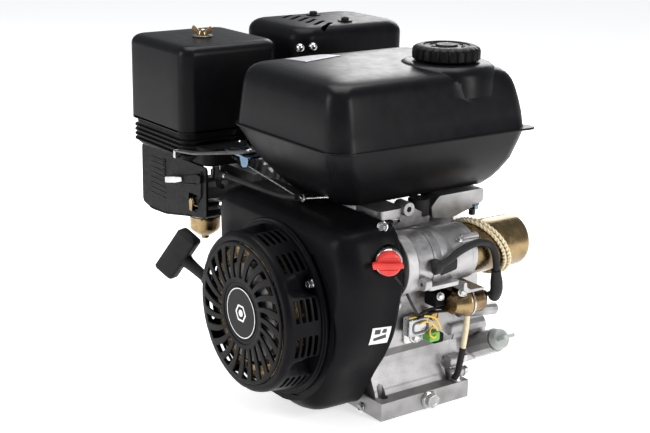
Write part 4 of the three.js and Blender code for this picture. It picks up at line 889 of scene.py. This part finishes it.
def blower_housing():
    walls = [(-75, 0.6), (-75.6, 0.1), (-78, 0.1), (-79, 0.9), (-100, 1.0), (-118, 1.4), (-126, 2.2),
             (-132, 3.6), (-137, 5.8), (-141.5, 9.0), (-145, 12.8), (-147.6, 17.0), (-149.2, 20.5),
             (-149.9, 24.0)]
    rims = [(-149.9, 113.0), (-149.6, 110.5), (-148.4, 109.0), (-148.0, 106.5), (-148.0, 90.0),
            (-147.6, 88.2)]
    outer = [housing_ring(y, inset) for y, inset in walls] + [housing_ring(y, radius=r) for y, r in rims]
    inner = [housing_ring(-75, 2.9), *[housing_ring(y + 2.2, inset + 2.5) for y, inset in walls[4:]],
             *[housing_ring(-145.8, radius=r) for r in (108.0, 88.2)]]
    rings = outer + inner[::-1]
    hole = cylinder(16.3, -14, 30, 64).through(SWITCH_PLACE)
    piece("blower_shell", loft([*rings, rings[0]], closed=False), "black_paint",
          stands_for=["blower_housing"], cuts=[hole], angle=40.0)
    shell = bpy.data.objects["blower_shell"]
    label = drape([(-109, 136), (-109, 114), (-82, 111), (-82, 133)], shell, "x", 0.5)
    piece("warning_plate", label, "grey_plastic", finish="white_print", thickness=0.3)
    marks = {
        "a": [(-105, 133), (-105, 127), (-97, 126), (-97, 132)],
        "b": [(-105, 122), (-104, 118), (-86, 119), (-88, 124)],
        "c": [(-93, 132), (-95, 127), (-88, 126), (-88, 131)],
    }
    for name, corners in marks.items():
        piece(f"warning_mark_{name}", drape(corners, shell, "x", 0.9), "black_plastic", finish="dark_print",
              thickness=0.2)


SCOOPS = [33.0 + 60.0 * k for k in range(6)]  # degrees round the recoil case
RECOIL_BOLT_RADIUS = 90.0


def recoil_wall_radius(theta, y):
    """Wall radius at an angle in degrees; it dips in a pocket in front of each fixing."""
    lean = (y + 155.0) / -35.0
    radius = 97.6 - 3.6 * lean
    off = min(abs((theta - scoop + 180.0) % 360.0 - 180.0) for scoop in SCOOPS)
    run = min(1.0, max(0.0, (y + 192.0) / 34.0))
    half = 2.6 + 6.6 * run
    if off < half:
        radius -= 15.0 * run * min(1.0, 1.6 * math.cos(math.pi / 2 * off / half))
    return radius


def recoil_case():
    flange = turned([(82, -151), (104, -151), (104, -153.2), (103.4, -154.0), (100.4, -154.2),
                     (99.6, -155.2), (82, -155.2)], 160, "y").at(0, 0, CRANK_Z)
    piece("recoil_flange", flange, "black_paint", stands_for=["recoil_case"], bevel=0.3, angle=30.0)

    sector = [-30, -26, -25.4, -25, -21, -17, -13, -9.6, -9.2, -8.7, -6, -3, 0, 3, 6, 8.7, 9.2, 9.6, 13,
              17, 21, 25, 25.4, 26]
    columns = [(SCOOPS[0] + 60.0 * k + d, d) for k in range(6) for d in sector]
    slot_rows = [-161.5, -169.1, -176.7, -184.3]
    rows = [-154.6, -157.0]
    for y in slot_rows:
        rows += [y + 2.7, y + 2.2, y, y - 2.2, y - 2.7]
    rows += [-188.6, -190.0, -192.0, -194.0, -195.6, -196.8, -197.6, -198.0]

    def wall_point(column, y):
        theta = column[0]
        radius = recoil_wall_radius(theta, max(y, -190.0))
        if y < -190.0:
            drop = (-190.0 - y) / 8.0
            radius -= 7.0 * (1 - math.sqrt(max(0.0, 1 - drop * drop)))
        if y == -198.0:
            radius = 83.0
        angle = math.radians(theta)
        return (radius * math.cos(angle), y, CRANK_Z + radius * math.sin(angle))

    def is_slot(c, r):
        d = columns[c][1]
        in_group = -25 <= d < -9.6 or 9.6 <= d < 25
        middle = (rows[r] + rows[r + 1]) / 2
        return in_group and any(abs(middle - y) < 2.1 for y in slot_rows)

    wall = grid(columns, rows, wall_point, is_slot)
    piece("recoil_wall", wall, "black_paint", thickness=-2.2, subdivide=1)

    count = 24
    half_slot = 0.26
    phases = [0.0, half_slot - 0.03, half_slot, half_slot + 0.03, 0.5, 1 - half_slot - 0.03, 1 - half_slot,
              1 - half_slot + 0.03]
    face_columns = [(k + p, p) for k in range(count) for p in phases]
    radii = [83.4, 81.0, 79.0, 78.4, 74.0, 66.0, 58.0, 50.0, 43.6, 43.0, 41.0, 38.0, 36.4]

    def face_point(column, radius):
        turn = 2 * math.pi * column[0] / count - 0.16 * (max(0.0, radius - 42.0) / 36.0) ** 1.4
        crown = 0.8 * math.cos(math.pi / 2 * min(1.0, abs(radius - 60.0) / 24.0))
        return (radius * math.cos(turn), -197.2 - crown, CRANK_Z + radius * math.sin(turn))

    def is_face_slot(c, r):
        phase = face_columns[c][1]
        middle = (radii[r] + radii[r + 1]) / 2
        return (phase < half_slot - 0.001 or phase >= 1 - half_slot - 0.001) and 43.0 < middle < 78.5

    face = grid(face_columns, radii, face_point, is_face_slot)
    piece("recoil_face", face, "black_paint", thickness=2.4, subdivide=1)
    hub = turned([(0, -194), (37.4, -194), (37.4, -197.6), (36.4, -198.9), (34.6, -199.3), (32.6, -199.0),
                  (32.2, -198.6), (31.6, -198.6), (31.2, -199.2), (30.4, -199.5), (0, -199.5)], 128, "y")
    piece("recoil_hub", hub.at(0, 0, CRANK_Z), "black_paint", angle=30.0)
    ring = turned([(28.6, -199.4), (29.6, -199.4), (29.6, -199.75), (28.6, -199.75)], 128, "y")
    piece("recoil_hub_ring", ring.at(0, 0, CRANK_Z), "grey_plastic", finish="white_print")
    disc = cylinder(28.6, -199.4, -199.65, 96, "y")
    piece("recoil_hub_disc", disc.at(0, 0, CRANK_Z), "gloss_black")
    # a plain motif: a hexagon round a dot
    outer_hex, inner_hex = circle(11.0, 6), circle(8.6, 6)
    edges = [(inner_hex, -199.6), (outer_hex, -199.6), (outer_hex, -199.9), (inner_hex, -199.9)]
    emblem = [[(u, y, CRANK_Z + v) for u, v in outline] for outline, y in edges]
    piece("recoil_hub_hexagon", loft([*emblem, emblem[0]], closed=False), "grey_plastic",
          finish="white_print", angle=30.0)
    dot = cylinder(4.2, -199.6, -199.9, 48, "y")
    piece("recoil_hub_dot", dot.at(0, 0, CRANK_Z), "grey_plastic", finish="white_print")

    for i, angle in enumerate(SCOOPS[::2]):
        a = math.radians(angle)
        place = (RECOIL_BOLT_RADIUS * math.cos(a), -155.2, CRANK_Z + RECOIL_BOLT_RADIUS * math.sin(a))
        bolt(f"recoil_bolt_{i + 1}", place, (0, -1, 0), 8.0, 4.2, flange=6.2)
    guide_start, guide_end = HANDLE - PULL * (REACH + 0.3), HANDLE - PULL * (REACH + 21.0)
    path = [guide_start.lerp(guide_end, i / 8) for i in range(9)]
    guide = sweep(path, [7.0, 9.4, 10.0, 10.0, 10.2, 10.8, 11.6, 12.4, 13.0], 32)
    bore = sweep([guide_start + PULL * 3, guide_end - PULL * 3], 4.0, 24)
    piece("rope_guide", guide, "black_paint", cuts=[bore], angle=35.0)


def starter_cup_and_reel():
    cup = turned([(9, -137.6), (49, -137.6), (51.5, -140), (53, -149), (57, -154), (78, -163.4),
                  (81, -165.4), (82, -168), (82, -185), (81, -186), (66, -186), (64.4, -185.6),
                  (64.4, -184.4), (79, -184), (80, -183), (80, -169), (56, -156.4), (50, -150.6),
                  (47.6, -140), (9, -139.6)], 128, "y")
    piece("starter_cup_shell", cup.at(0, 0, CRANK_Z), "gold_zinc", "crankshaft",
          stands_for=["starter_cup"], angle=32.0)
    steps = 192
    profile = [(14, -192.4), (20, -193), (40, -192.8), (44, -191.6), (56, -192.2), (57.6, -191.8),
               (58, -190.6), (44, -189.6), (42.4, -188), (42.4, -183), (44, -181.4), (57.4, -180.4),
               (58, -179.4), (57, -178), (14, -178)]
    rings = []
    for radius, y in profile:
        flute = 0.7 if -192.5 < y < -191 and radius > 30 else 0.0
        rings.append([(u, y + flute * math.cos(24 * math.pi * i / steps), CRANK_Z + v)
                      for i, (u, v) in enumerate(circle(radius, steps))])
    reel = loft([*rings, rings[0]], closed=False)
    piece("reel_body", reel, "dark_steel", "recoil_reel", stands_for=["recoil_reel"], angle=40.0)
    turn_steps, turns, rope_radius, rise = 28, 5, 46.5, 1.26
    path = []
    for i in range(turns * turn_steps):
        angle = 2 * math.pi * i / turn_steps
        y = -187.6 + rise * i / turn_steps
        path.append((rope_radius * math.cos(angle), y, CRANK_Z + rope_radius * math.sin(angle)))
    bar("reel_rope", path, 1.7, 10, "cream_sleeve", "recoil_reel")


def engine_switch():
    base = turned([(0, -4), (15.8, -4), (16, -3.4), (16, 2.6), (15.4, 4.4), (14.8, 5.2), (13.4, 5.2),
                   (13.4, 3.0), (0, 3.0)], 72)
    piece("switch_bezel", base.through(SWITCH_PLACE), "bright_zinc", stands_for=["switch_base"], angle=30.0)
    knob = turned([(0, 5.4), (13.2, 5.4), (13.8, 6.2), (13.8, 9.4), (13, 12), (11.6, 13), (0, 13)], 72)
    piece("switch_knob_disc", knob.through(SWITCH_PLACE), "red_plastic", "engine_switch",
          stands_for=["switch_knob"], angle=35.0)
    grip = prism(soften([(-19, -3.2), (15, -2.4), (15, 2.4), (-19, 3.2)], 2.3), 11.0, 19.5)
    piece("switch_knob_grip", grip.through(SWITCH_PLACE), "red_plastic", "engine_switch", bevel=1.1,
          segments=3)
    for label, v in (("a", 6.6), ("b", -6.6)):
        rib = prism(soften(rectangle(-9.5, 9.5, v - 0.8, v + 0.8), 0.7), 11.6, 13.9)
        piece(f"switch_knob_rib_{label}", rib.through(SWITCH_PLACE), "red_plastic", "engine_switch",
              bevel=0.35)


# ---- Electric starter, solenoid and cables ------------------------------------------------------------

STARTER_X, STARTER_Z = 107.0, 197.0


def electric_starter():
    x, z = STARTER_X, STARTER_Z
    body = turned([(27, -72), (37.2, -72), (38, -71.2), (38, -58.6), (37.2, -57.4), (36, -56.4),
                   (35.4, -54), (35.6, -30), (35.8, -14), (35.2, -10), (33.4, -6), (32.6, -2), (32.6, 26),
                   (33, 26.6), (33, 33.4), (32.4, 34), (27, 34)], 128, "y")
    ears = []
    for ex, ez in ((x + 2, z - 46), (x - 34, z + 34)):
        ears.append(turned([(0, -72), (9.2, -72), (10, -71), (10, -61), (9.4, -60), (0, -60)], 40,
                           "y").at(ex, 0, ez))
        ears.append(sweep([(ex, -66, ez), (x + (ex - x) * 0.55, -66, z + (ez - z) * 0.55)], [5.8, 5.8], 24))
    foot = prism(soften([(74.3, z - 22), (x, z - 22), (x, z + 6), (74.3, z + 6)], 4), -58, 10, "y")
    boss = turned([(0, 10), (3.6, 10), (5, 12), (5, 34), (0, 34)], 32, "y").at(x + 27, 0, z + 24)
    web = sweep([(x + 18, 12, z + 16), (x + 18, 33, z + 16)], [9.5, 9.5], 24)
    step = turned([(27, -34), (36.6, -34), (36.6, -24), (36, -22.6), (27, -22.6)], 96, "y").at(x, 0, z)
    hollow = cylinder(27, -80, 60, 64, "y").at(x, 0, z)
    side_ear = turned([(0, -54), (6.8, -54), (7.5, -53), (7.5, -45), (0, -45)], 32, "y").at(145, 0, 181)
    side_arm = sweep([(144, -49.5, 181.5), (122, -49.5, 190)], [4.4, 4.4], 20)
    ledge = prism(soften(rectangle(108, 146, -42, 2), 4), 171.5, 176.0)
    holes = [cylinder(4.2, -74, -56, 24, "y").at(x + 2, 0, z - 46),
             cylinder(2.4, -56, -44, 20, "y").at(145, 0, 181)]
    piece("starter_casting", body.at(x, 0, z), "cast_aluminium", stands_for=["starter_housing"],
          joins=[*ears, foot, boss, web, step, side_arm, side_ear, ledge], cuts=[hollow, *holes],
          angle=32.0)
    can = turned([(27, 34.3), (31, 34.3), (31, 112.5), (30.6, 115.4), (29.4, 117.8), (27.6, 119.4),
                  (25.4, 120), (0.5, 120), (0.5, 117), (27, 116.4)], 128, "y")
    piece("starter_can_shell", can.at(x, 0, z), "gold_zinc", stands_for=["starter_can"], angle=30.0)
    bolt("starter_ear_bolt", (x - 34, -72.0, z + 34), (0, -1, 0), 8.0, 4.0, flange=7.0)
    bolt("starter_through_bolt", (x + 27, 10.0, z + 24), (0, -1, 0), 7.0, 4.0)
    # a cord of two strands, tied twice round the can and leaning along it
    steps, twists, strand_reach, lean = 132, 22, 1.15, 20.0
    for turn_index, (y, lift) in enumerate(((60.0, 0.0), (67.0, 0.4))):
        for strand in range(2):
            path = []
            for i in range(steps + 1):
                angle = 2 * math.pi * i / steps
                twist = twists * angle + math.pi * strand
                radius = 31.3 + 2.6 + lift + strand_reach * math.cos(twist)
                along = y + lean * math.cos(angle + 0.92) + strand_reach * math.sin(twist)
                path.append((x + radius * math.cos(angle), along, z + radius * math.sin(angle)))
            bar(f"tie_cord_{turn_index + 1}_{strand + 1}", path, 1.5, 8, "cream_sleeve")


def solenoid():
    x, z = 118.0, 136.0
    can = turned([(0, 37), (16, 37), (16, 38.6), (15.5, 39.4), (15.5, 54.6), (16, 55.2), (16, 56.2),
                  (15.2, 57), (0, 57)], 72, "y")
    piece("solenoid_can", can.at(x, 0, z), "gold_zinc", stands_for=["solenoid"], bevel=0.3, angle=30.0)
    cap = turned([(0, 57), (13.0, 57), (12.6, 60.4), (11.4, 61.6), (0, 61.6)], 48, "y")
    piece("solenoid_cap", cap.at(x, 0, z), "black_plastic", angle=30.0)
    for i, (dx, dz) in enumerate(((-6, -2), (6, 6))):
        stud = turned([(0, 60), (2.6, 60), (2.6, 68.6), (2.2, 69), (0, 69)], 20, "y")
        piece(f"solenoid_stud_{i + 1}", stud.at(x + dx, 0, z + dz), "machined_steel", angle=40.0)
        bolt(f"solenoid_nut_{i + 1}", (x + dx, 61.8, z + dz), (0, 1, 0), 8.0, 2.6)
    saddle = turned([(0, 16), (9.4, 16), (10.2, 16.6), (17.0, 32.6), (17.5, 33.6), (17.5, 35.8), (17, 36.6),
                     (0, 36.6)], 72, "y")
    plate = prism(soften(rectangle(76, x, z - 14, z + 14), 4), 20.0, 36.6, "y")
    piece("solenoid_bracket_body", saddle.at(x, 0, z), "gold_zinc", stands_for=["solenoid_bracket"],
          joins=[plate], bevel=0.8, segments=3)
    strap = prism(soften([(106, 150), (120, 150), (120, 163.2), (106, 163.2)], 2), 25.2, 36.6, "y")
    piece("solenoid_strap", strap, "gold_zinc", bevel=1.0, segments=3)
    band = turned([(15.6, 36.9), (17.9, 36.9), (18.3, 37.4), (18.3, 38.8), (17.9, 39.3), (15.6, 39.3)],
                  72, "y")
    piece("solenoid_band", band.at(x, 0, z), "bright_zinc", angle=30.0)
    shelf = prism(soften([(14, 169), (14, 160), (20, 155.4), (46, 155.4), (46, 158.4), (24, 159.4),
                          (19, 163), (19, 169)], 2), 110.0, 140.0, "x")
    piece("solenoid_shelf", shelf, "cast_aluminium", bevel=0.7, segments=3)
    bolt("bracket_bolt_front", (129.0, 22.0, 153.5), (1, -0.35, 0), 8.0, 4.0, flange=6.0)
    bolt("bracket_bolt_left", (104.0, 10.0, 143.0), (1, -0.35, 0), 7.0, 3.6, flange=5.4)
    # painted shade: this black block beside the solenoid bracket stands in for the shadow that falls there
    dark = prism(soften(rectangle(82, 104, z - 7, z + 11), 4), 4.0, 18.0, "y")
    piece("solenoid_painted_shadow_block", dark, "black_plastic", bevel=1.5, segments=3)


CABLE_ROUTE = [(149, -38, 200), (149, -22, 204), (149, -2, 213), (148, 25, 218), (146, 46, 211),
               (145.5, 56, 194), (143, 61, 170), (138, 67, 150), (128, 74, 138)]


def cables():
    bar("battery_cable", smooth_path(CABLE_ROUTE, 8), 4.2, 20, "black_rubber",
        stands_for=["starter_cable"], angle=50.0)
    boot_path = smooth_path([(146, -40, 199), (147.5, -33, 200.5), (148.8, -25, 203), (149, -13, 208)], 6)
    radii = [5.0 + 4.6 * math.sin(math.pi * min(1.0, (i + 2) / 10)) ** 0.6 for i in range(len(boot_path))]
    radii = [min(r, 9.0) - 3.4 * max(0.0, (i - 9) / 9) for i, r in enumerate(radii)]
    bar("starter_terminal_boot", boot_path, radii, 24, "black_rubber", angle=50.0)
    flap = prism(soften([(-25, 185), (0, 189), (0, 203), (-20, 204), (-27, 196)], 4), 137.5, 143.5, "x")
    piece("starter_terminal_cover", flap, "black_rubber", bevel=2.0, segments=4)
    low_path = smooth_path([(144, 59, 178), (141, 63.5, 162), (138, 67, 150), (128.5, 73, 139)], 6)
    low_radii = [5.4 + 2.0 * min(1.0, i / 6) for i in range(len(low_path))]
    bar("solenoid_terminal_boot", low_path, low_radii, 24, "black_rubber", angle=50.0)
    lead = smooth_path([(103, 56, 116), (103, 54, 90), (101, 53, 70), (99, 51, 50), (97, 50, 36),
                        (93, 49, 26.5)], 10)
    sleeve_share = 0.44
    split = int(len(lead) * sleeve_share)
    bar("ground_lead_sleeve", lead[:split], 3.4, 20, "cream_sleeve", stands_for=["ground_lead"],
        angle=50.0)
    bar("ground_lead_shrink", lead[split - 1:], 3.9, 20, "black_rubber", angle=50.0)
    ring = turned([(3.2, 22.2), (7.2, 22.2), (7.4, 22.6), (7.4, 24.0), (7.0, 24.4), (3.2, 24.4)], 40)
    piece("ground_ring", ring.at(90.0, 54.0, 0), "bright_zinc", bevel=0.2)
    bolt("ground_bolt", (90.0, 54.0, 24.4), (0, 0, 1), 9.0, 4.0)


# ---- Crankcase side -----------------------------------------------------------------------------------

def oil_alert():
    x0, x1, y0, y1 = 78.0, 94.0, -26.0, 6.0
    ring = rounded_box_ring(x0, x1, y0, y1, 5.0, 8, 2)
    levels = [(95.0, 0.95), (95.8, 1.0), (115.2, 1.0), (116.0, 0.95)]
    cx, cy = (x0 + x1) / 2, (y0 + y1) / 2
    can = loft([[(cx + (x - cx) * s, cy + (y - cy) * s, z) for x, y in ring] for z, s in levels])
    piece("alert_can", can, "machined_steel", stands_for=["oil_alert_unit"], bevel=0.3, angle=30.0)
    ear = prism(soften(rectangle(-20, 0, 80, 98), 4), 74.3, 77.5, "x")
    piece("alert_ear", ear, "bright_zinc", bevel=0.4)
    oval = prism(soften(rectangle(-22, 2, 97.5, 113.5), 7.5, 8), 94.0, 94.9, "x")
    inner = prism(soften(rectangle(-19.5, -0.5, 100, 111), 4.8, 8), 93.0, 96.0, "x")
    piece("alert_bead", oval, "dark_steel", cuts=[inner], bevel=0.25)
    bolt("alert_bolt", (77.5, -4.0, 86.5), (1, 0, 0), 10.0, 4.2, flange=7.6)


WIRES = {
    "yellow_1": [(96, -14, 110), (99, -6, 113), (100, 4, 108), (98, 12, 100), (95, 16, 95)],
    "yellow_2": [(95, 16, 95), (100, 8, 91), (101, 0, 95), (98, 2, 101), (95, 10, 104)],
    "yellow_3": [(90, -24, 118), (96, -10, 120), (100, 6, 116), (99, 14, 106), (96, 20, 98)],
    "black_1": [(138, -88, 196), (134, -70, 176), (124, -50, 152), (108, -30, 134), (96, -16, 122)],
    "black_2": [(96, -16, 122), (92, 6, 124), (92, 26, 122), (90, 44, 118)],
    "black_3": [(98, -18, 119), (94, 8, 120), (94, 28, 118), (92, 46, 114)],
}
WIRE_LOOKS = {  # radius, slot, finish
    "yellow": (1.15, "grey_plastic", "yellow_wire"),
    "black": (1.7, "black_rubber", None),
}


def wiring():
    for name, points in WIRES.items():
        radius, slot, finish = WIRE_LOOKS[name.split("_")[0]]
        bar(f"wire_{name}", smooth_path(points, 10), radius, slot=slot, finish=finish, angle=60.0)
    green = prism(soften(rectangle(2, 18, 84, 96), 3), 84.0, 98.0, "x")
    piece("connector_green", green, "grey_plastic", finish="green_plastic", bevel=1.2, segments=3)
    dark = prism(soften(rectangle(10, 26, 80, 92), 3), 80.0, 96.0, "x")
    piece("connector_black", dark, "black_plastic", bevel=1.5, segments=3)
    terminal = turned([(0, 80), (6.4, 80), (6.8, 81), (6.8, 87), (6.2, 88), (4.4, 88), (4.2, 87),
                       (0, 87)], 40, "x")
    piece("oil_sensor_nut", terminal.at(0, 18, 112), "gold_zinc", angle=30.0)


DRAIN_Y, DRAIN_Z = 5, 12


def drain_plug():
    washer = turned([(6.4, 97.5), (11.2, 97.5), (11.5, 97.9), (11.5, 99.1), (11.2, 99.5), (6.4, 99.5)],
                    56, "x")
    piece("drain_washer", washer.at(0, DRAIN_Y, DRAIN_Z), "bright_zinc", stands_for=["drain_plug"],
          bevel=0.15)
    bolt("drain_bolt", (99.5, DRAIN_Y, DRAIN_Z), (1, 0, 0), 16.4, 6.6, flange=10.4)


def dipstick():
    foot, mouth = Vector((60, 108, 44)), Vector((100, 108, 66))
    place = facing(mouth, mouth - foot)
    profile = [(0, 0.6), (8.4, 0.6), (8.4, 1.0), (12.6, 1.2), (13.0, 1.8), (13.0, 6.0), (12.4, 9.0),
               (11.6, 11.2), (10.8, 12), (0, 12.4)]
    piece("dipstick_knob", turned(profile, 64).through(place), "grey_plastic", "dipstick",
          stands_for=["dipstick"], angle=32.0)
    paddle = prism(soften([(-7.5, 11), (7.5, 11), (9.6, 25), (7.8, 27), (-7.8, 27), (-9.6, 25)], 3), -2.4,
                   2.4, "y")
    piece("dipstick_paddle", paddle.through(place), "grey_plastic", "dipstick", bevel=0.9, segments=3)
    blade = prism(soften(rectangle(-2.5, 2.5, -46, 3), 1.2), -0.8, 0.8, "y")
    piece("dipstick_blade", blade.through(place), "bright_zinc", "dipstick", bevel=0.2)
    thread_profile = [(0, -11.6), (7.4, -11.6)]
    level = -11.4
    while level < 0.2:
        thread_profile += [(8.3, level + 0.6), (7.5, level + 1.2)]
        level += 1.2
    thread = turned([*thread_profile, (0, 0.8)], 40)
    piece("dipstick_thread", thread.through(place), "grey_plastic", "dipstick", angle=20.0)


def tank_brackets():
    foot = prism(soften(rectangle(8, 66, -50, 22), 4), 222.3, 229.0)
    riser = prism(soften(rectangle(36, 60, -50, -34), 3), 228.0, 248.0)
    pad = prism(soften([(36, -69), (84, -69), (84, -34), (72, -30), (36, -30)], 9, 6), 242.0, 252.0)
    fin = prism(soften([(-36, 250), (-20, 252), (22, 230), (22, 226), (-20, 226)], 3), 58.0, 66.0, "x")
    ear = turned([(0, 64.6), (8.5, 64.6), (8.5, 83), (7.8, 84), (0, 84)], 48, "x").at(0, -25, 249)
    hole = cylinder(3.4, 68, 90, 24, "x").at(0, -25, 249)
    piece("front_bracket", foot, "cast_aluminium", stands_for=["tank_bracket_front"],
          joins=[riser, pad, fin, ear], cuts=[hole], bevel=0.8, angle=40.0)
    bolt("front_bracket_nut", (78, -46, 241.9), (0, 0, -1), 13.0, 6.6, flange=10.5)
    arm = prism(soften([(26, 226), (52, 223), (60, 222.8), (98, 233), (106, 236), (106, 252), (36, 252),
                        (24, 240)], 3), 36.0, 66.0, "x")
    base = prism(soften(rectangle(8, 46, 28, 56), 4), 222.3, 230.0)
    piece("rear_bracket", arm, "cast_aluminium", stands_for=["tank_bracket_rear"], joins=[base],
          bevel=0.8, angle=40.0)
    bolt("rear_bracket_bolt", (60, 94, 233.6), (0, 0, -1), 13.0, 6.0, "blue_zinc", washer=8.6)
    stub = turned([(0, 219.0), (3.6, 219.0), (4.2, 219.6), (4.2, 226.0), (0, 226.0)], 24).at(60, 94, 0)
    piece("rear_bracket_stub", stub, "dark_steel", angle=40.0)
    damper = turned([(0, 230), (12, 230), (13, 231), (13, 249), (12, 250.5), (0, 250.5)], 48).at(54, 14, 0)
    piece("bracket_damper", damper, "black_rubber", angle=40.0)


def control_linkage():
    plate = prism(soften(rectangle(-150, -94, -130, -100), 4), 284.0, 286.3)
    tab = prism(soften([(-112, 286), (-92, 286), (-94, 275), (-106, 272)], 4), -130.9, -128.7, "y")
    leg = prism(soften(rectangle(-140, -124, 274, 285), 2), -102.3, -100.1, "y")
    piece("control_plate_sheet", plate, "blue_zinc", stands_for=["control_plate"], joins=[tab, leg],
          bevel=0.4)
    outline = soften([(-198, -174), (-150, -172), (-104, -124), (-104, -108), (-118, -108), (-154, -162),
                      (-198, -164)], 6, 6)
    slope = Matrix(((1, 0, 0, 0), (0, 1, 0, 0), (0.1, 0, 1, 11.2), (0, 0, 0, 1)))
    piece("throttle_blade", prism(outline, 287.1, 289.3).through(slope), "dark_steel", "throttle_lever",
          stands_for=["throttle_lever"], bevel=0.5)
    hook = prism(soften([(-174, 270.4), (-165, 270.4), (-164.2, 281.6), (-173.6, 281.8)], 2.5), -197.6,
                 -192.6, "x")
    piece("throttle_hook", hook, "bright_zinc", "throttle_lever", bevel=0.9, segments=3)
    bolt("throttle_pivot", (-112, -116, 289.4), (0, 0, 1), 6.6, 2.0, body="throttle_lever")
    rod = smooth_path([(-165, -112, 272), (-120, -112, 268), (-60, -112, 260), (-18, -112, 254.2)], 8)
    rod_look = {"slot": "bright_zinc", "body": "governor_rod", "angle": 60.0}
    bar("governor_wire", rod, 1.5, stands_for=["governor_rod"], **rod_look)
    hook = smooth_path([(-20, -112, 254.6), (-8, -112, 254.2), (-3, -112, 250.6), (-1, -112, 254.0),
                        (-3, -112, 259.0)], 8)
    bar("governor_hook", hook, 1.5, **rod_look)
    link = smooth_path([(-2, -112, 254.6), (20, -107, 260.0), (43, -101, 265.4)], 8)
    bar("governor_spring_rod", link, 1.3, **rod_look)
    hose = smooth_path([(-203, -100, 222), (-178, -120, 234), (-146, -134, 254), (-108, -132, 255),
                        (-40, -124, 252.5), (-2, -122, 257)], 10)
    bar("fuel_line", hose, 3.5, 20, "black_rubber", stands_for=["fuel_hose"], angle=60.0)
    clip_step = 23
    clip_at = hose[clip_step]
    along = (hose[clip_step + 1] - hose[clip_step - 1]).normalized()
    clip = turned([(3.6, -1.6), (4.4, -1.6), (4.4, 1.6), (3.6, 1.6)], 40).through(facing(clip_at, along))
    piece("fuel_line_clip", clip, "bright_zinc", bevel=0.2)


# x, z, boss radius
CASE_BOLTS = ((76, 132, 7.5), (75, 84, 7.5), (76, 42, 7.5), (66, 192, 7.0), (79, 26, 6.0))


def crankcase_fittings():
    for i, (x, z, reach) in enumerate(CASE_BOLTS):
        boss = turned([(0, 50), (reach - 1, 50), (reach, 51.4), (reach, 72.4), (0, 72.4)], 40, "y")
        piece(f"case_boss_{i + 1}", boss.at(x, 0, z), "cast_aluminium", angle=35.0)
        bolt(f"case_bolt_{i + 1}", (x, 72.4, z), (0, 1, 0), 10.0, 6.0, flange=7.0)
    bolt("bar_bolt", (80.0, 120.0, 99.0), (0, 1, -0.14), 8.0, 3.0, "dark_steel", washer=6.6)
    bolt("bar_bolt_near", (80.0, 61.6, 107.0), (0, -1, 0.14), 8.0, 2.6, "dark_steel", washer=6.6)
    lug_path = [(104, -74, 238), (114.6, -87.6, 245.8)]
    bar("housing_top_lug", lug_path, [7.6, 6.6], 28, "black_paint", angle=40.0)
    bolt("housing_top_bolt", (115.2, -88.4, 246.2), (0.6, -0.75, 0.3), 8.6, 4.2, flange=6.4)
    bolt("base_bolt", (60.0, -67.4, 5.6), (0, -1, 0), 8.0, 3.0, flange=5.6)


# ---- CAD nodes that stay ----------------------------------------------------------------------------

CAD_EDGE_BEVEL = 0.0005  # far too thin to show: the edges stay sharp


def finish_cad_nodes():
    """Gives each CAD node that still shows its slot's finish."""
    slot_of = {part["node"]: part["material_slot"] for part in frame["record"]["subparts"]}
    for name, obj in frame["nodes"].items():
        if name in replaced:
            continue
        material = MATERIALS[slot_of[name]]
        obj.data.materials.clear()
        obj.data.materials.append(material)
        add_bevel(obj, CAD_EDGE_BEVEL)


make_camera()
make_studio()
make_floor()
tank()
fuel_cap()
air_cleaner()
wing_nut()
cleaner_base()
carburettor_cover()
choke_and_fuel_levers()
float_bowl()
recoil_handle()
muffler_guard()
blower_housing()
recoil_case()
starter_cup_and_reel()
engine_switch()
electric_starter()
solenoid()
cables()
oil_alert()
wiring()
drain_plug()
dipstick()
tank_brackets()
control_linkage()
crankcase_fittings()
finish_cad_nodes()
